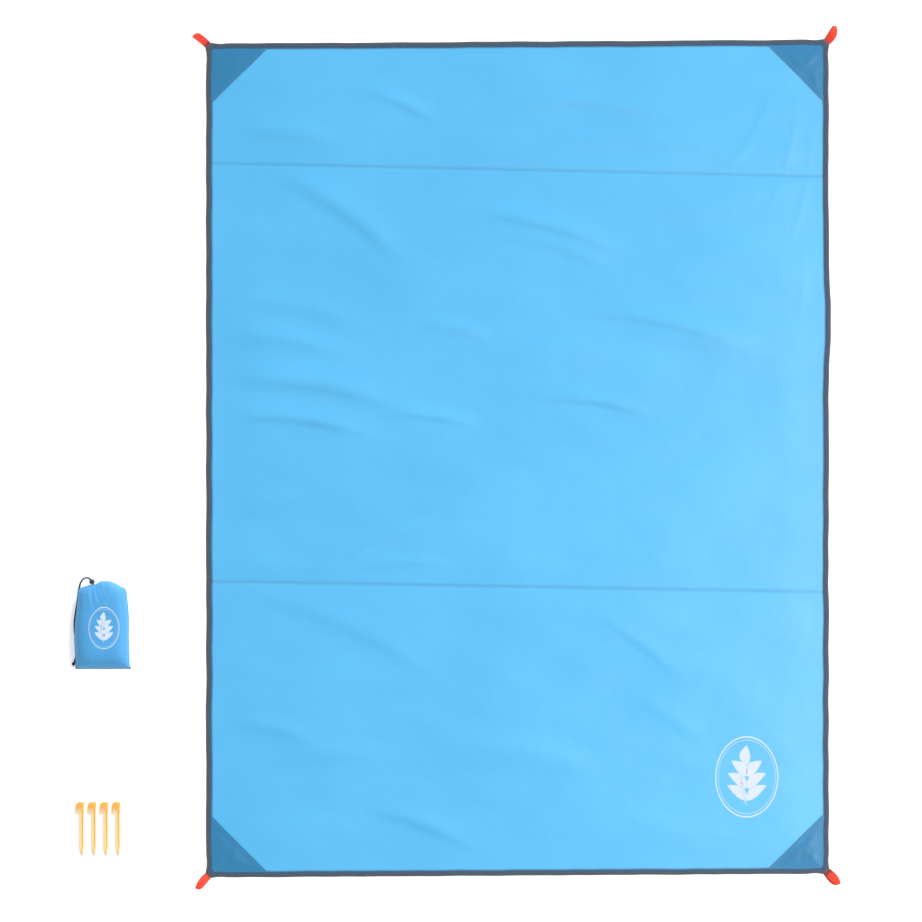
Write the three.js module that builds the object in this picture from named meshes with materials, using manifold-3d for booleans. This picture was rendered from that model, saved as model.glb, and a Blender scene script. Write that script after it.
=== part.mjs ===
// Camp blanket: a light sheet with a bound edge, laid out flat, with its drawstring pouch and its four
// stakes beside it. Millimetres, +Z up, +Y towards the far edge of the sheet.
// The origin is the centre of the sheet's underside. The binding wraps under the sheet, so the ground is
// a little lower, at groundZ.
import * as THREE from 'three';
import { mergeVertices } from 'three/addons/utils/BufferGeometryUtils.js';
import Module from 'manifold-3d';

const wasm = await Module();
wasm.setup();

// ---------------------------------------------------------------- driving dimensions

// Sheet
const blanketWidth = 1530;
const blanketLength = 2050;
const sheetThickness = 1.2;
const topPanelLength = 318; // far edge to the first crease
const bottomPanelLength = 702; // near edge to the second crease

// Binding tape, folded round the edge of the sheet
const tapeWidth = 13;
const tapeThickness = 0.9;
const hemPinch = 0.3; // how much thinner each face of the sheet is inside the tape's fold

// Corner patches
const patchLeg = 163; // from the corner, along each edge
const patchThickness = 0.6;

// Corner loops
const loopWidth = 20;
const loopReach = 43;
const loopPly = 1.5;
const loopEyeHeight = 7.5;
const loopSeam = 7; // how far the two plies are sewn together

// Stakes
const stakeCount = 4;
const stakePitch = 29.6;
const stakeLength = 132;
const stakeWidth = 9.8;
const stakeHeight = 8;
const stakeTip = 19; // length of the point
const stakeTipWidth = 2.4;
const stakeRail = 2.7; // width of the two rails beside the groove
const stakeGrooveDepth = 2.6;
const hookGap = 4.7;
const hookLeg = 5.2;
const hookDrop = 29.4; // top of the stake to the foot of the hook
const hookArm = 14.7; // top of the stake to the roof of the gap
const stakesFromSheet = 305.3; // left edge of the sheet to the first shaft's centre line
const stakesFromNearEdge = 181; // near edge of the sheet to the heads

// Pouch
const pouchFromSheet = 254; // left edge of the sheet to the pouch's middle
const pouchFromNearEdge = 509; // near edge of the sheet to the pouch's bottom seam
const pouchLength = 199; // bottom seam to shoulders
const pouchTopWidth = 120;
const pouchMiddleWidth = 133;
const pouchWall = 1.2;
const pouchSeamHeight = 20; // of the side seams above the ground
const pouchCrown = 27; // front panel above the seams
const pouchNeckRise = 16.5; // highest point of the top edge above the shoulders
const mouthWidth = 56;
const mouthHalfHeight = 6;
const mouthOffset = -18; // from the pouch's middle

// Drawcord and its lock
const cordDiameter = 4;
const lockDiameter = 12;
const lockWall = 1.8;
const lockFloor = 1.5;
const lockHeight = 19;
const lockBelowCord = 13;
const buttonHeadDiameter = 9.6;
const buttonHead = 1.8;
const buttonTravel = 3;
const buttonBridge = 1.5; // material under the button's cord slot
const springWire = 0.7;
const springPlay = 1.2; // round the spring in the lock's bore
const springTurns = 4;
const knotDiameter = 8.5;
const knotLength = 11;

// Fits
const clearance = 0.3; // between two pieces that touch
const cordClearance = 0.5; // round the cord in its lock

// ---------------------------------------------------------------- worked out from them

const groundZ = hemPinch - clearance - tapeThickness;
const tapeTopZ = sheetThickness - hemPinch + clearance + tapeThickness;
const halfWidth = blanketWidth / 2;
const halfLength = blanketLength / 2;
const cornerCut = loopWidth / Math.SQRT2; // each leg of the blunt corner that carries a loop
const farCreaseY = halfLength - topPanelLength;
const nearCreaseY = -halfLength + bottomPanelLength;
const pouchX = -halfWidth - pouchFromSheet;
const pouchBottomY = -halfLength + pouchFromNearEdge;
const seamZ = groundZ + pouchSeamHeight;

// ---------------------------------------------------------------- finishes

function finish(color, roughness, metalness = 0) {
  return new THREE.MeshStandardMaterial({ color, roughness, metalness });
}

const sheetBlue = finish(0x6cc4f7, 0.55);
const tapeGrey = finish(0x59616e, 0.8);
const patchBlue = finish(0x4f93c2, 0.6);
const loopRed = finish(0xf4503c, 0.75);
const stakeYellow = finish(0xf8bd55, 0.4);
const pouchBlue = finish(0x61aee8, 0.55);
const cordBlack = finish(0x23232a, 0.8);
const lockBlack = finish(0x1b2024, 0.45);
const springSteel = finish(0xb9bcc0, 0.3, 1);

// ---------------------------------------------------------------- helpers

const blanket = new THREE.Group();

function place(name, geometry, material, parent = blanket) {
  const mesh = new THREE.Mesh(geometry, material);
  mesh.name = name;
  parent.add(mesh);
  return mesh;
}

function toSolid(geometry) {
  const bare = geometry.clone();
  bare.deleteAttribute('normal');
  bare.deleteAttribute('uv');
  const merged = mergeVertices(bare, 1e-4);
  const vertProperties = new Float32Array(merged.attributes.position.array);
  const triVerts = new Uint32Array(merged.index.array);
  return new wasm.Manifold(new wasm.Mesh({ numProp: 3, vertProperties, triVerts }));
}

function toGeometry(solid) {
  const mesh = solid.getMesh();
  const geometry = new THREE.BufferGeometry();
  geometry.setAttribute('position', new THREE.BufferAttribute(mesh.vertProperties, 3));
  geometry.setIndex(new THREE.BufferAttribute(mesh.triVerts, 1));
  geometry.computeVertexNormals();
  return geometry;
}

function cut(body, ...tools) {
  return toGeometry(tools.reduce((left, tool) => left.subtract(toSolid(tool)), toSolid(body)));
}

function outline(points) {
  return new THREE.Shape(points.map(([x, y]) => new THREE.Vector2(x, y)));
}

// A flat plate of the given outline, from one height to another.
function plate(points, fromZ, toZ) {
  const geometry = new THREE.ExtrudeGeometry(outline(points), { depth: toZ - fromZ, bevelEnabled: false });
  return geometry.translate(0, 0, fromZ);
}

function turning(profile, segments) {
  const points = profile.map(([radius, height]) => new THREE.Vector2(radius, height));
  return new THREE.LatheGeometry(points, segments).rotateX(Math.PI / 2);
}

// ---------------------------------------------------------------- sheet and binding

// Plan of the sheet between two Y values, inset from its edges, with the corners cut where a loop is sewn.
function panelPlan(fromY, toY, inset) {
  const x = halfWidth - inset;
  const y = halfLength - inset;
  const diagonal = cornerCut - inset * (2 - Math.SQRT2);
  const points = [];
  if (fromY <= -y) points.push([-x + diagonal, -y], [x - diagonal, -y], [x, -y + diagonal]);
  else points.push([-x, fromY], [x, fromY]);
  if (toY >= y) points.push([x, y - diagonal], [x - diagonal, y], [-x + diagonal, y], [-x, y - diagonal]);
  else points.push([x, toY], [-x, toY]);
  if (fromY <= -y) points.push([-x, -y + diagonal]);
  return points;
}

const sheetInset = tapeThickness + clearance;
const halfSplit = clearance / 2;
const panels = {
  top: [farCreaseY + halfSplit, halfLength],
  middle: [nearCreaseY + halfSplit, farCreaseY - halfSplit],
  bottom: [-halfLength, nearCreaseY - halfSplit],
};

// A panel is thinner along its outer edges, where the tape squeezes it.
function sheetPanel(fromY, toY) {
  const x = halfWidth - tapeWidth - clearance;
  const y = halfLength - tapeWidth - clearance;
  const near = Math.max(fromY, -y);
  const far = Math.min(toY, y);
  const field = plate([[-x, near], [x, near], [x, far], [-x, far]], 0, sheetThickness);
  const hem = plate(panelPlan(fromY, toY, sheetInset), hemPinch, sheetThickness - hemPinch);
  return toGeometry(toSolid(field).add(toSolid(hem)));
}

for (const [name, [fromY, toY]] of Object.entries(panels)) {
  place(`sheet_${name}_panel`, sheetPanel(fromY, toY), sheetBlue);
}

// The room that the tape leaves for the sheet inside its fold.
function sheetSlot() {
  const slotPlan = panelPlan(-halfLength, halfLength, tapeThickness);
  return plate(slotPlan, hemPinch - clearance, sheetThickness - hemPinch + clearance);
}

// The open middle of the frame that the tape makes.
function frameWindow() {
  const x = halfWidth - tapeWidth;
  const y = halfLength - tapeWidth;
  const window = [[-x, -y], [x, -y], [x, y], [-x, y]];
  return plate(window, groundZ - 1, tapeTopZ + 1);
}

const tapeFrame = toSolid(plate(panelPlan(-halfLength, halfLength, 0), groundZ, tapeTopZ))
  .subtract(toSolid(sheetSlot()))
  .subtract(toSolid(frameWindow()));

function tapeLength(name, plan) {
  const region = toSolid(plate(plan, groundZ - 1, tapeTopZ + 1));
  place(name, toGeometry(tapeFrame.intersect(region)), tapeGrey);
}

// Side lengths stop at 45 degree mitres at the corners, and at the creases.
function sideTape(name, side, fromY, toY) {
  const outer = side * (halfWidth + 1);
  const inner = side * (halfWidth - tapeWidth - 1);
  const reach = (x) => halfLength - halfWidth + Math.abs(x) - clearance / Math.SQRT2;
  const near = (x) => Math.max(fromY, -reach(x));
  const far = (x) => Math.min(toY, reach(x));
  const plan = [[outer, near(outer)], [outer, far(outer)], [inner, far(inner)], [inner, near(inner)]];
  tapeLength(name, side < 0 ? plan.reverse() : plan);
}

function endTape(name, end) {
  const outer = halfLength + 1;
  const inner = halfLength - tapeWidth - 1;
  const reach = (y) => halfWidth - halfLength + y - clearance / Math.SQRT2;
  const plan = [
    [-reach(outer), end * outer],
    [reach(outer), end * outer],
    [reach(inner), end * inner],
    [-reach(inner), end * inner],
  ];
  tapeLength(name, end > 0 ? plan.reverse() : plan);
}

endTape('binding_top', 1);
endTape('binding_bottom', -1);
for (const [name, [fromY, toY]] of Object.entries(panels)) {
  sideTape(`binding_left_${name}`, -1, fromY, toY);
  sideTape(`binding_right_${name}`, 1, fromY, toY);
}

// ---------------------------------------------------------------- corners

const corners = {
  top_left: { x: -1, y: 1 },
  top_right: { x: 1, y: 1 },
  bottom_left: { x: -1, y: -1 },
  bottom_right: { x: 1, y: -1 },
};

// A second layer of cloth, which runs up to the tape and lies on the sheet.
function cornerPatch(name, { x, y }) {
  const inset = tapeWidth + clearance;
  const innerX = x * (halfWidth - inset);
  const innerY = y * (halfLength - inset);
  const farLeg = patchLeg - inset;
  const plan = [
    [innerX, innerY],
    [innerX, innerY - y * (farLeg - inset)],
    [innerX - x * (farLeg - inset), innerY],
  ];
  const fromZ = sheetThickness + clearance;
  if (x * y > 0) plan.reverse();
  place(`corner_patch_${name}`, plate(plan, fromZ, fromZ + patchThickness), patchBlue);
}

// Side view of a loop: x runs out from the corner, y is height. The webbing lies on the ground, folds
// back over itself at the tip and rises over the eye.
function loopOutline() {
  const top = groundZ + 2 * loopPly + loopEyeHeight;
  const middle = (groundZ + top) / 2;
  const crest = loopReach * 0.52;
  const shape = new THREE.Shape();
  shape.moveTo(0, groundZ);
  shape.lineTo(loopReach - 10, groundZ);
  shape.bezierCurveTo(loopReach - 3, groundZ, loopReach, groundZ + 2, loopReach, middle);
  shape.bezierCurveTo(loopReach, top - 1.5, loopReach - 5, top, crest, top);
  shape.bezierCurveTo(crest - 12, top, loopSeam + 4, tapeTopZ, 0, tapeTopZ);
  shape.closePath();
  const eye = new THREE.Path();
  const tip = loopReach - loopPly;
  const roof = top - loopPly;
  const floor = groundZ + loopPly;
  eye.moveTo(loopSeam, floor);
  eye.bezierCurveTo(loopSeam + 4, floor + 1.5, crest - 11, roof, crest, roof);
  eye.bezierCurveTo(tip - 4, roof, tip, roof - 1, tip, middle);
  eye.bezierCurveTo(tip, floor + 1, tip - 3, floor, tip - 9, floor);
  eye.closePath();
  shape.holes.push(eye);
  return shape;
}

function cornerLoop(name, { x, y }) {
  const geometry = new THREE.ExtrudeGeometry(loopOutline(), {
    depth: loopWidth,
    bevelEnabled: false,
    curveSegments: 8,
  });
  geometry.rotateX(Math.PI / 2).translate(0, loopWidth / 2, 0);
  const loop = place(`corner_loop_${name}`, geometry, loopRed);
  loop.rotation.z = Math.atan2(y, x);
  const seam = cornerCut / 2 - clearance / Math.SQRT2;
  loop.position.set(x * (halfWidth - seam), y * (halfLength - seam), 0);
}

for (const [name, corner] of Object.entries(corners)) {
  cornerPatch(name, corner);
  cornerLoop(name, corner);
}

// ---------------------------------------------------------------- stakes

// Plan of a stake, point towards -Y and hook on its left, from the middle of the top of the shaft.
function stakePlan() {
  const half = stakeWidth / 2;
  const gapLeft = -half - hookGap;
  const legLeft = gapLeft - hookLeg;
  return [
    [half, 0],
    [-half, 0],
    [gapLeft + 1, -1],
    [legLeft + 0.8, -4.6],
    [legLeft, -6.4],
    [legLeft, -hookDrop + 1],
    [legLeft + 1, -hookDrop],
    [gapLeft - 1, -hookDrop],
    [gapLeft, -hookDrop + 1],
    [gapLeft, -hookArm - 1.6],
    [gapLeft + 1.6, -hookArm],
    [-half - 1.6, -hookArm],
    [-half, -hookArm - 1.6],
    [-half, -stakeLength + stakeTip],
    [-stakeTipWidth / 2, -stakeLength],
    [stakeTipWidth / 2, -stakeLength],
    [half, -stakeLength + stakeTip],
  ];
}

// The groove between the rails, which follows the shaft and closes towards the point.
function groovePlan() {
  const half = stakeWidth / 2 - stakeRail;
  return [
    [half, -hookArm - 3],
    [-half, -hookArm - 3],
    [-half, -stakeLength + stakeTip],
    [-0.3, -stakeLength + stakeTip / 2],
    [0.3, -stakeLength + stakeTip / 2],
    [half, -stakeLength + stakeTip],
  ];
}

function stakeGeometry() {
  const top = groundZ + stakeHeight;
  const body = plate(stakePlan(), groundZ, top);
  const upperGroove = plate(groovePlan(), top - stakeGrooveDepth, top + 1);
  const lowerGroove = plate(groovePlan(), groundZ - 1, groundZ + stakeGrooveDepth);
  return cut(body, upperGroove, lowerGroove);
}

for (let i = 0; i < stakeCount; i += 1) {
  const stake = place(`stake_${i + 1}`, stakeGeometry(), stakeYellow);
  stake.position.set(-halfWidth - stakesFromSheet + i * stakePitch, -halfLength + stakesFromNearEdge, 0);
}

// ---------------------------------------------------------------- pouch

const { smoothstep, lerp } = THREE.MathUtils;

// Height of the top edge above the shoulders, at an offset from the pouch's middle.
function neckRise(offset) {
  const shoulder = pouchTopWidth / 2;
  const mouthSide = 0.5 * smoothstep(offset, -shoulder, -shoulder / 3);
  const humpSide = 0.5 * smoothstep(offset, mouthOffset, mouthOffset + 18);
  const fall = smoothstep(offset, shoulder * 0.25, shoulder);
  return pouchNeckRise * (mouthSide + humpSide - fall);
}

// How full the pouch is at a fraction of its length (0 bottom seam, 1 shoulders) and of its half width.
function fullness(along, across) {
  const ends = Math.sqrt(1 - Math.abs(2 * Math.min(along, 1) - 1) ** 5);
  const sides = Math.sqrt(1 - Math.abs(across) ** 3.5);
  return ends * sides;
}

// Half height of the mouth where the two panels part at the top edge.
function mouthGape(offset, along) {
  const away = Math.min(1, Math.abs(offset - mouthOffset) / (mouthWidth / 2));
  return mouthHalfHeight * (1 - away ** 2) * smoothstep(along, 0.72, 1);
}

// One cloth panel of the pouch: a plate bulged up (side 1) or down (side -1) from the seams.
function pouchPanel(side) {
  const geometry = new THREE.BoxGeometry(2, 1, pouchWall, 20, 22, 1);
  const position = geometry.attributes.position;
  const crown = side > 0 ? pouchCrown : pouchSeamHeight - pouchWall - clearance / 2;
  for (let i = 0; i < position.count; i += 1) {
    const across = position.getX(i);
    const along = position.getY(i) + 0.5;
    const layer = position.getZ(i) + pouchWall / 2;
    const width = along < 0.5
      ? pouchMiddleWidth
      : lerp(pouchMiddleWidth, pouchTopWidth, smoothstep(along, 0.5, 1));
    const offset = (across * width) / 2;
    const bulge = Math.max(crown * fullness(along, across), mouthGape(offset, along));
    const settled = side > 0 ? bulge : Math.min(bulge * 1.25, crown);
    const y = along * (pouchLength + neckRise(offset) * smoothstep(along, 0.7, 1));
    position.setXYZ(i, pouchX + offset, pouchBottomY + y, seamZ + side * (clearance / 2 + settled) + layer);
    if (side < 0) position.setZ(i, position.getZ(i) - pouchWall);
  }
  geometry.computeVertexNormals();
  return geometry;
}

place('pouch_front_panel', pouchPanel(1), pouchBlue);
place('pouch_back_panel', pouchPanel(-1), pouchBlue);

// ---------------------------------------------------------------- drawcord and cord lock

// Places on the drawcord, from the pouch's middle (x) and its bottom seam (y); z is above the ground.
// It leaves the mouth, goes through the lock, falls to the ground and runs back under the pouch's edge.
const cordPath = [
  [-21.2, 207.3, 20], [-23.5, 210.9, 20], [-25.4, 213.9, 20], [-27.6, 217.4, 19.9], [-31.5, 221.6, 19],
  [-37.5, 223.6, 17], [-43.8, 222.4, 14.2], [-49.4, 218.2, 11], [-53.6, 212.4, 7.8], [-56.4, 205.6, 5],
  [-58.2, 198, 3], [-59.6, 189, 2.1], [-61.2, 177, 2], [-63.6, 160, 2], [-66.6, 142, 2],
  [-69.2, 124, 2], [-70.4, 106, 2], [-69.4, 88, 2], [-66.6, 70, 2], [-64.6, 54, 2],
  [-64.6, 40, 2], [-67, 27, 2], [-70.4, 16, 2],
].map(([x, y, z]) => new THREE.Vector3(pouchX + x, pouchBottomY + y, groundZ + z));

const lockAt = cordPath[2];
const lockHeading = Math.atan2(cordPath[3].y - cordPath[1].y, cordPath[3].x - cordPath[1].x);

function circle(radius, sides) {
  const ring = Array.from({ length: sides }, (_, i) => {
    const angle = (2 * Math.PI * i) / sides;
    return [radius * Math.cos(angle), radius * Math.sin(angle)];
  });
  return outline(ring);
}

function drawcord() {
  return new THREE.ExtrudeGeometry(circle(cordDiameter / 2, 8), {
    steps: 70,
    bevelEnabled: false,
    extrudePath: new THREE.CatmullRomCurve3(cordPath, false, 'centripetal'),
  });
}

function drawcordKnot() {
  const end = cordPath[cordPath.length - 1];
  const before = cordPath[cordPath.length - 2];
  const heading = new THREE.Vector3().subVectors(end, before).normalize();
  const knot = new THREE.SphereGeometry(knotDiameter / 2, 14, 10).scale(knotLength / knotDiameter, 1, 1);
  knot.rotateZ(Math.atan2(heading.y, heading.x));
  const centre = end.clone().addScaledVector(heading, knotLength / 2 + clearance);
  return knot.translate(centre.x, centre.y, groundZ + knotDiameter / 2);
}

const lockBore = lockDiameter - 2 * lockWall;
const buttonDiameter = lockBore - 2 * clearance;
const springDiameter = lockBore - 2 * springPlay;

// The lock stands on end; these heights are measured from the cord's centre line.
const lockBottom = -lockBelowCord;
const lockTop = lockBottom + lockHeight;
const slotBottom = -cordDiameter / 2 - clearance;
const slotTop = cordDiameter / 2 + clearance + buttonTravel;
const stemBottom = slotBottom - buttonBridge;

function lockBarrel() {
  const cup = turning([
    [0, lockBottom], [lockDiameter / 2 - 1, lockBottom], [lockDiameter / 2, lockBottom + 1],
    [lockDiameter / 2, lockTop - 0.6], [lockDiameter / 2 - 0.6, lockTop], [lockBore / 2, lockTop],
    [lockBore / 2, lockBottom + lockFloor], [0, lockBottom + lockFloor],
  ], 28);
  const holeRadius = cordDiameter / 2 + cordClearance;
  const hole = new THREE.CylinderGeometry(holeRadius, holeRadius, lockDiameter * 2, 20).rotateZ(Math.PI / 2);
  return cut(cup, hole);
}

function lockButton() {
  const headBottom = lockTop + buttonTravel + clearance;
  const stem = turning([
    [0, stemBottom], [buttonDiameter / 2, stemBottom], [buttonDiameter / 2, headBottom],
    [buttonHeadDiameter / 2, headBottom], [buttonHeadDiameter / 2, headBottom + buttonHead - 0.5],
    [buttonHeadDiameter / 2 - 0.5, headBottom + buttonHead], [0, headBottom + buttonHead],
  ], 28);
  const slotWidth = cordDiameter + 2 * cordClearance;
  const slot = new THREE.BoxGeometry(buttonDiameter * 2, slotWidth, slotTop - slotBottom);
  slot.translate(0, 0, (slotTop + slotBottom) / 2);
  return cut(stem, slot);
}

class Helix extends THREE.Curve {
  constructor(radius, fromZ, toZ, turns) {
    super();
    Object.assign(this, { radius, fromZ, toZ, turns });
  }

  getPoint(t, target = new THREE.Vector3()) {
    const angle = 2 * Math.PI * this.turns * t;
    const z = lerp(this.fromZ, this.toZ, t);
    return target.set(this.radius * Math.cos(angle), this.radius * Math.sin(angle), z);
  }
}

function lockSpring() {
  const room = springWire / 2 + clearance;
  const coil = new Helix(
    (springDiameter - springWire) / 2,
    lockBottom + lockFloor + room,
    stemBottom - room,
    springTurns,
  );
  return new THREE.ExtrudeGeometry(circle(springWire / 2, 6), {
    steps: 56,
    bevelEnabled: false,
    extrudePath: coil,
  });
}

place('drawcord', drawcord(), cordBlack);
place('drawcord_knot', drawcordKnot(), cordBlack);
const lock = new THREE.Group();
lock.position.copy(lockAt);
lock.rotation.z = lockHeading;
blanket.add(lock);
place('cord_lock_barrel', lockBarrel(), lockBlack, lock);
place('cord_lock_button', lockButton(), lockBlack, lock);
place('cord_lock_spring', lockSpring(), springSteel, lock);

export default blanket;
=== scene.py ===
"""Camp blanket laid out flat, with its drawstring pouch and four stakes beside it.

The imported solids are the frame. This script builds the cloth, tape, webbing, thread, cord and moulded
pieces round them, dresses every piece, and lays out the floor, the lights and the camera.
Lengths are in metres.
"""

from __future__ import annotations

import logging
import math
from dataclasses import dataclass, field
from enum import Enum
from typing import Callable, Dict, Iterable, List, Optional, Sequence, Tuple, Union

import bmesh
import bpy
import numpy as np
from mathutils import Matrix, Vector


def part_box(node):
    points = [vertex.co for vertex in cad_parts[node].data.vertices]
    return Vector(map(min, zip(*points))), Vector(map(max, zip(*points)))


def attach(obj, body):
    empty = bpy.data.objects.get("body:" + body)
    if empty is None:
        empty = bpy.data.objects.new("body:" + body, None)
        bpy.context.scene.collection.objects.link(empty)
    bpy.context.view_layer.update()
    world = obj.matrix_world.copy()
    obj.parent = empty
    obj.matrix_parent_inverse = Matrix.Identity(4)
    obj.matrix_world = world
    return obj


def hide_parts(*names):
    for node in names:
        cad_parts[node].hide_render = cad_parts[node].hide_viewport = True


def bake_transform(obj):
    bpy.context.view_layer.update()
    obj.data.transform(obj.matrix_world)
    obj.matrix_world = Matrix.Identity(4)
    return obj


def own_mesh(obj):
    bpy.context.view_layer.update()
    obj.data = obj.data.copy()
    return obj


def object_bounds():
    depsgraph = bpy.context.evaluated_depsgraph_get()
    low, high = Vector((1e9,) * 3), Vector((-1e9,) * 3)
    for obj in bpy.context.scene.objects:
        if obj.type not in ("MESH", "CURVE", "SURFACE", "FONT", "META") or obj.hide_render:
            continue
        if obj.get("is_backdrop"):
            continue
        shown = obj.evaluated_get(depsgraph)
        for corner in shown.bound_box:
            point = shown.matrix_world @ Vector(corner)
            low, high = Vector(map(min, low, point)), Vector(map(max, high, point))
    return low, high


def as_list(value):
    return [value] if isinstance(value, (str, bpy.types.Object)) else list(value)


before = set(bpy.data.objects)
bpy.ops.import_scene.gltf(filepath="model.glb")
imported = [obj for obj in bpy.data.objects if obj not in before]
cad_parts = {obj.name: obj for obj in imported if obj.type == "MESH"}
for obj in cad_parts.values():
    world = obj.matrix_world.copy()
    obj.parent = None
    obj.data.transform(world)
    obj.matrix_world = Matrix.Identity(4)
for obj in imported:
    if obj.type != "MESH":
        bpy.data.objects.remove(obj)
CAD_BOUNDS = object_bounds()

LOG = logging.getLogger("camp_blanket")
MM = 0.001

Array = np.ndarray
Point = Tuple[float, float]
Place = Tuple[float, float, float]
Colour = Tuple[float, float, float]
Faces = List[List[int]]
Piece = bpy.types.Object


# --- small helpers


def smoothstep(value: Array, low: float, high: float) -> Array:
    """A smooth rise from 0 to 1 between two values."""
    t = np.clip((np.asarray(value, float) - low) / (high - low), 0.0, 1.0)
    return t * t * (3.0 - 2.0 * t)


def distances(line: Array) -> Array:
    """How far along a line each of its points lies."""
    return np.concatenate([[0], np.cumsum(np.linalg.norm(np.diff(line, axis=0), axis=1))])


def grid_faces(rows: int, columns: int, closed: bool = False) -> Faces:
    """Quads between neighbouring rows of points.

    Args:
        rows: Number of rows.
        columns: Number of points in a row.
        closed: Whether the last point of a row joins its first.

    Returns:
        The quads, as lists of point numbers.
    """
    index = np.arange(rows * columns).reshape(rows, columns)
    if closed:
        index = np.hstack([index, index[:, :1]])
    corners = [index[:-1, :-1], index[:-1, 1:], index[1:, 1:], index[1:, :-1]]
    return np.stack(corners, -1).reshape(-1, 4).tolist()


def new_piece(
    name: str, points: Array, faces: Iterable[Sequence[int]], flat: Optional[Array] = None
) -> Piece:
    """Makes a mesh object from points and faces.

    Args:
        name: The piece's name.
        points: One row of three coordinates for each point.
        faces: Point numbers of each face.
        flat: Where each point lies on the cut cloth, kept as the UV map named flat.

    Returns:
        The new object, at the origin.
    """
    mesh = bpy.data.meshes.new(name)
    mesh.from_pydata(np.asarray(points, float).tolist(), [], [list(face) for face in faces])
    if flat is not None:
        layer = mesh.uv_layers.new(name="flat")
        corner = np.empty(len(mesh.loops), np.int32)
        mesh.loops.foreach_get("vertex_index", corner)
        layer.data.foreach_set("uv", np.asarray(flat, np.float32)[corner].ravel())
    mesh.validate()
    mesh.update()
    piece = bpy.data.objects.new(name, mesh)
    bpy.context.scene.collection.objects.link(piece)
    return piece


class Bench:
    """The modelling operators, with the selection that each of them needs."""

    @staticmethod
    def clear() -> None:
        """Goes to object mode with nothing selected."""
        if bpy.context.mode != "OBJECT":
            bpy.ops.object.mode_set(mode="OBJECT")
        bpy.ops.object.select_all(action="DESELECT")

    @staticmethod
    def extrude(x: float, y: float, z: float) -> None:
        """Draws the selected faces out by a distance."""
        bpy.ops.mesh.extrude_region_move(TRANSFORM_OT_translate={"value": (x, y, z)})

    @staticmethod
    def close_up(piece: Piece, merge: float = 0.0) -> None:
        """Merges a closed piece's points where that is asked for, and turns its faces outwards.

        Args:
            piece: The piece.
            merge: Points nearer together than this become one.
        """
        Bench.only(piece)
        bpy.ops.object.mode_set(mode="EDIT")
        bpy.ops.mesh.select_all(action="SELECT")
        if merge:
            bpy.ops.mesh.remove_doubles(threshold=merge)
            bpy.ops.mesh.select_all(action="SELECT")
        bpy.ops.mesh.normals_make_consistent(inside=False)
        bpy.ops.object.mode_set(mode="OBJECT")

    @staticmethod
    def only(piece: Piece) -> None:
        """Leaves one piece selected and active.

        Args:
            piece: The piece to work on.
        """
        Bench.clear()
        piece.select_set(True)
        bpy.context.view_layer.objects.active = piece

    @staticmethod
    def modify(piece: Piece, kind: str, **settings: object) -> None:
        """Adds a modifier and applies it.

        Args:
            piece: The piece to change.
            kind: The modifier's type.
            **settings: The modifier's own settings.
        """
        Bench.only(piece)
        modifier = piece.modifiers.new(kind.lower(), kind)
        for key, value in settings.items():
            setattr(modifier, key, value)
        bpy.ops.object.modifier_apply(modifier=modifier.name)

    @staticmethod
    def smooth(piece: Piece, degrees: float = 40.0) -> None:
        """Shades a piece smooth, apart from edges sharper than the given angle."""
        Bench.only(piece)
        bpy.ops.object.shade_smooth_by_angle(angle=math.radians(degrees))

    @staticmethod
    def settle(piece: Piece) -> None:
        """Puts a piece's place into its mesh."""
        Bench.only(piece)
        bpy.ops.object.transform_apply(location=True, rotation=True, scale=True)

    @staticmethod
    def pick(piece: Piece, test: Callable[[bmesh.types.BMFace], bool]) -> int:
        """Selects the faces that pass a test, in edit mode.

        Args:
            piece: The piece in edit mode.
            test: Says whether a face is wanted.

        Returns:
            How many faces are selected.
        """
        bpy.ops.mesh.select_mode(type="FACE")
        bpy.ops.mesh.select_all(action="DESELECT")
        shape = bmesh.from_edit_mesh(piece.data)
        shape.normal_update()
        count = 0
        for face in shape.faces:
            if test(face):
                face.select_set(True)
                count += 1
        bmesh.update_edit_mesh(piece.data)
        return count

    @staticmethod
    def bisect(piece: Piece, place: Place, normal: Place) -> None:
        """Cuts new edges all round a piece in edit mode where a plane meets it."""
        bpy.ops.mesh.select_all(action="SELECT")
        bpy.ops.mesh.bisect(plane_co=place, plane_no=normal, clear_inner=False, clear_outer=False)


# --- shader arithmetic

Feed = Union["Socket", float, Tuple[float, ...]]
Feeds = Dict[Union[int, str], Feed]


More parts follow.
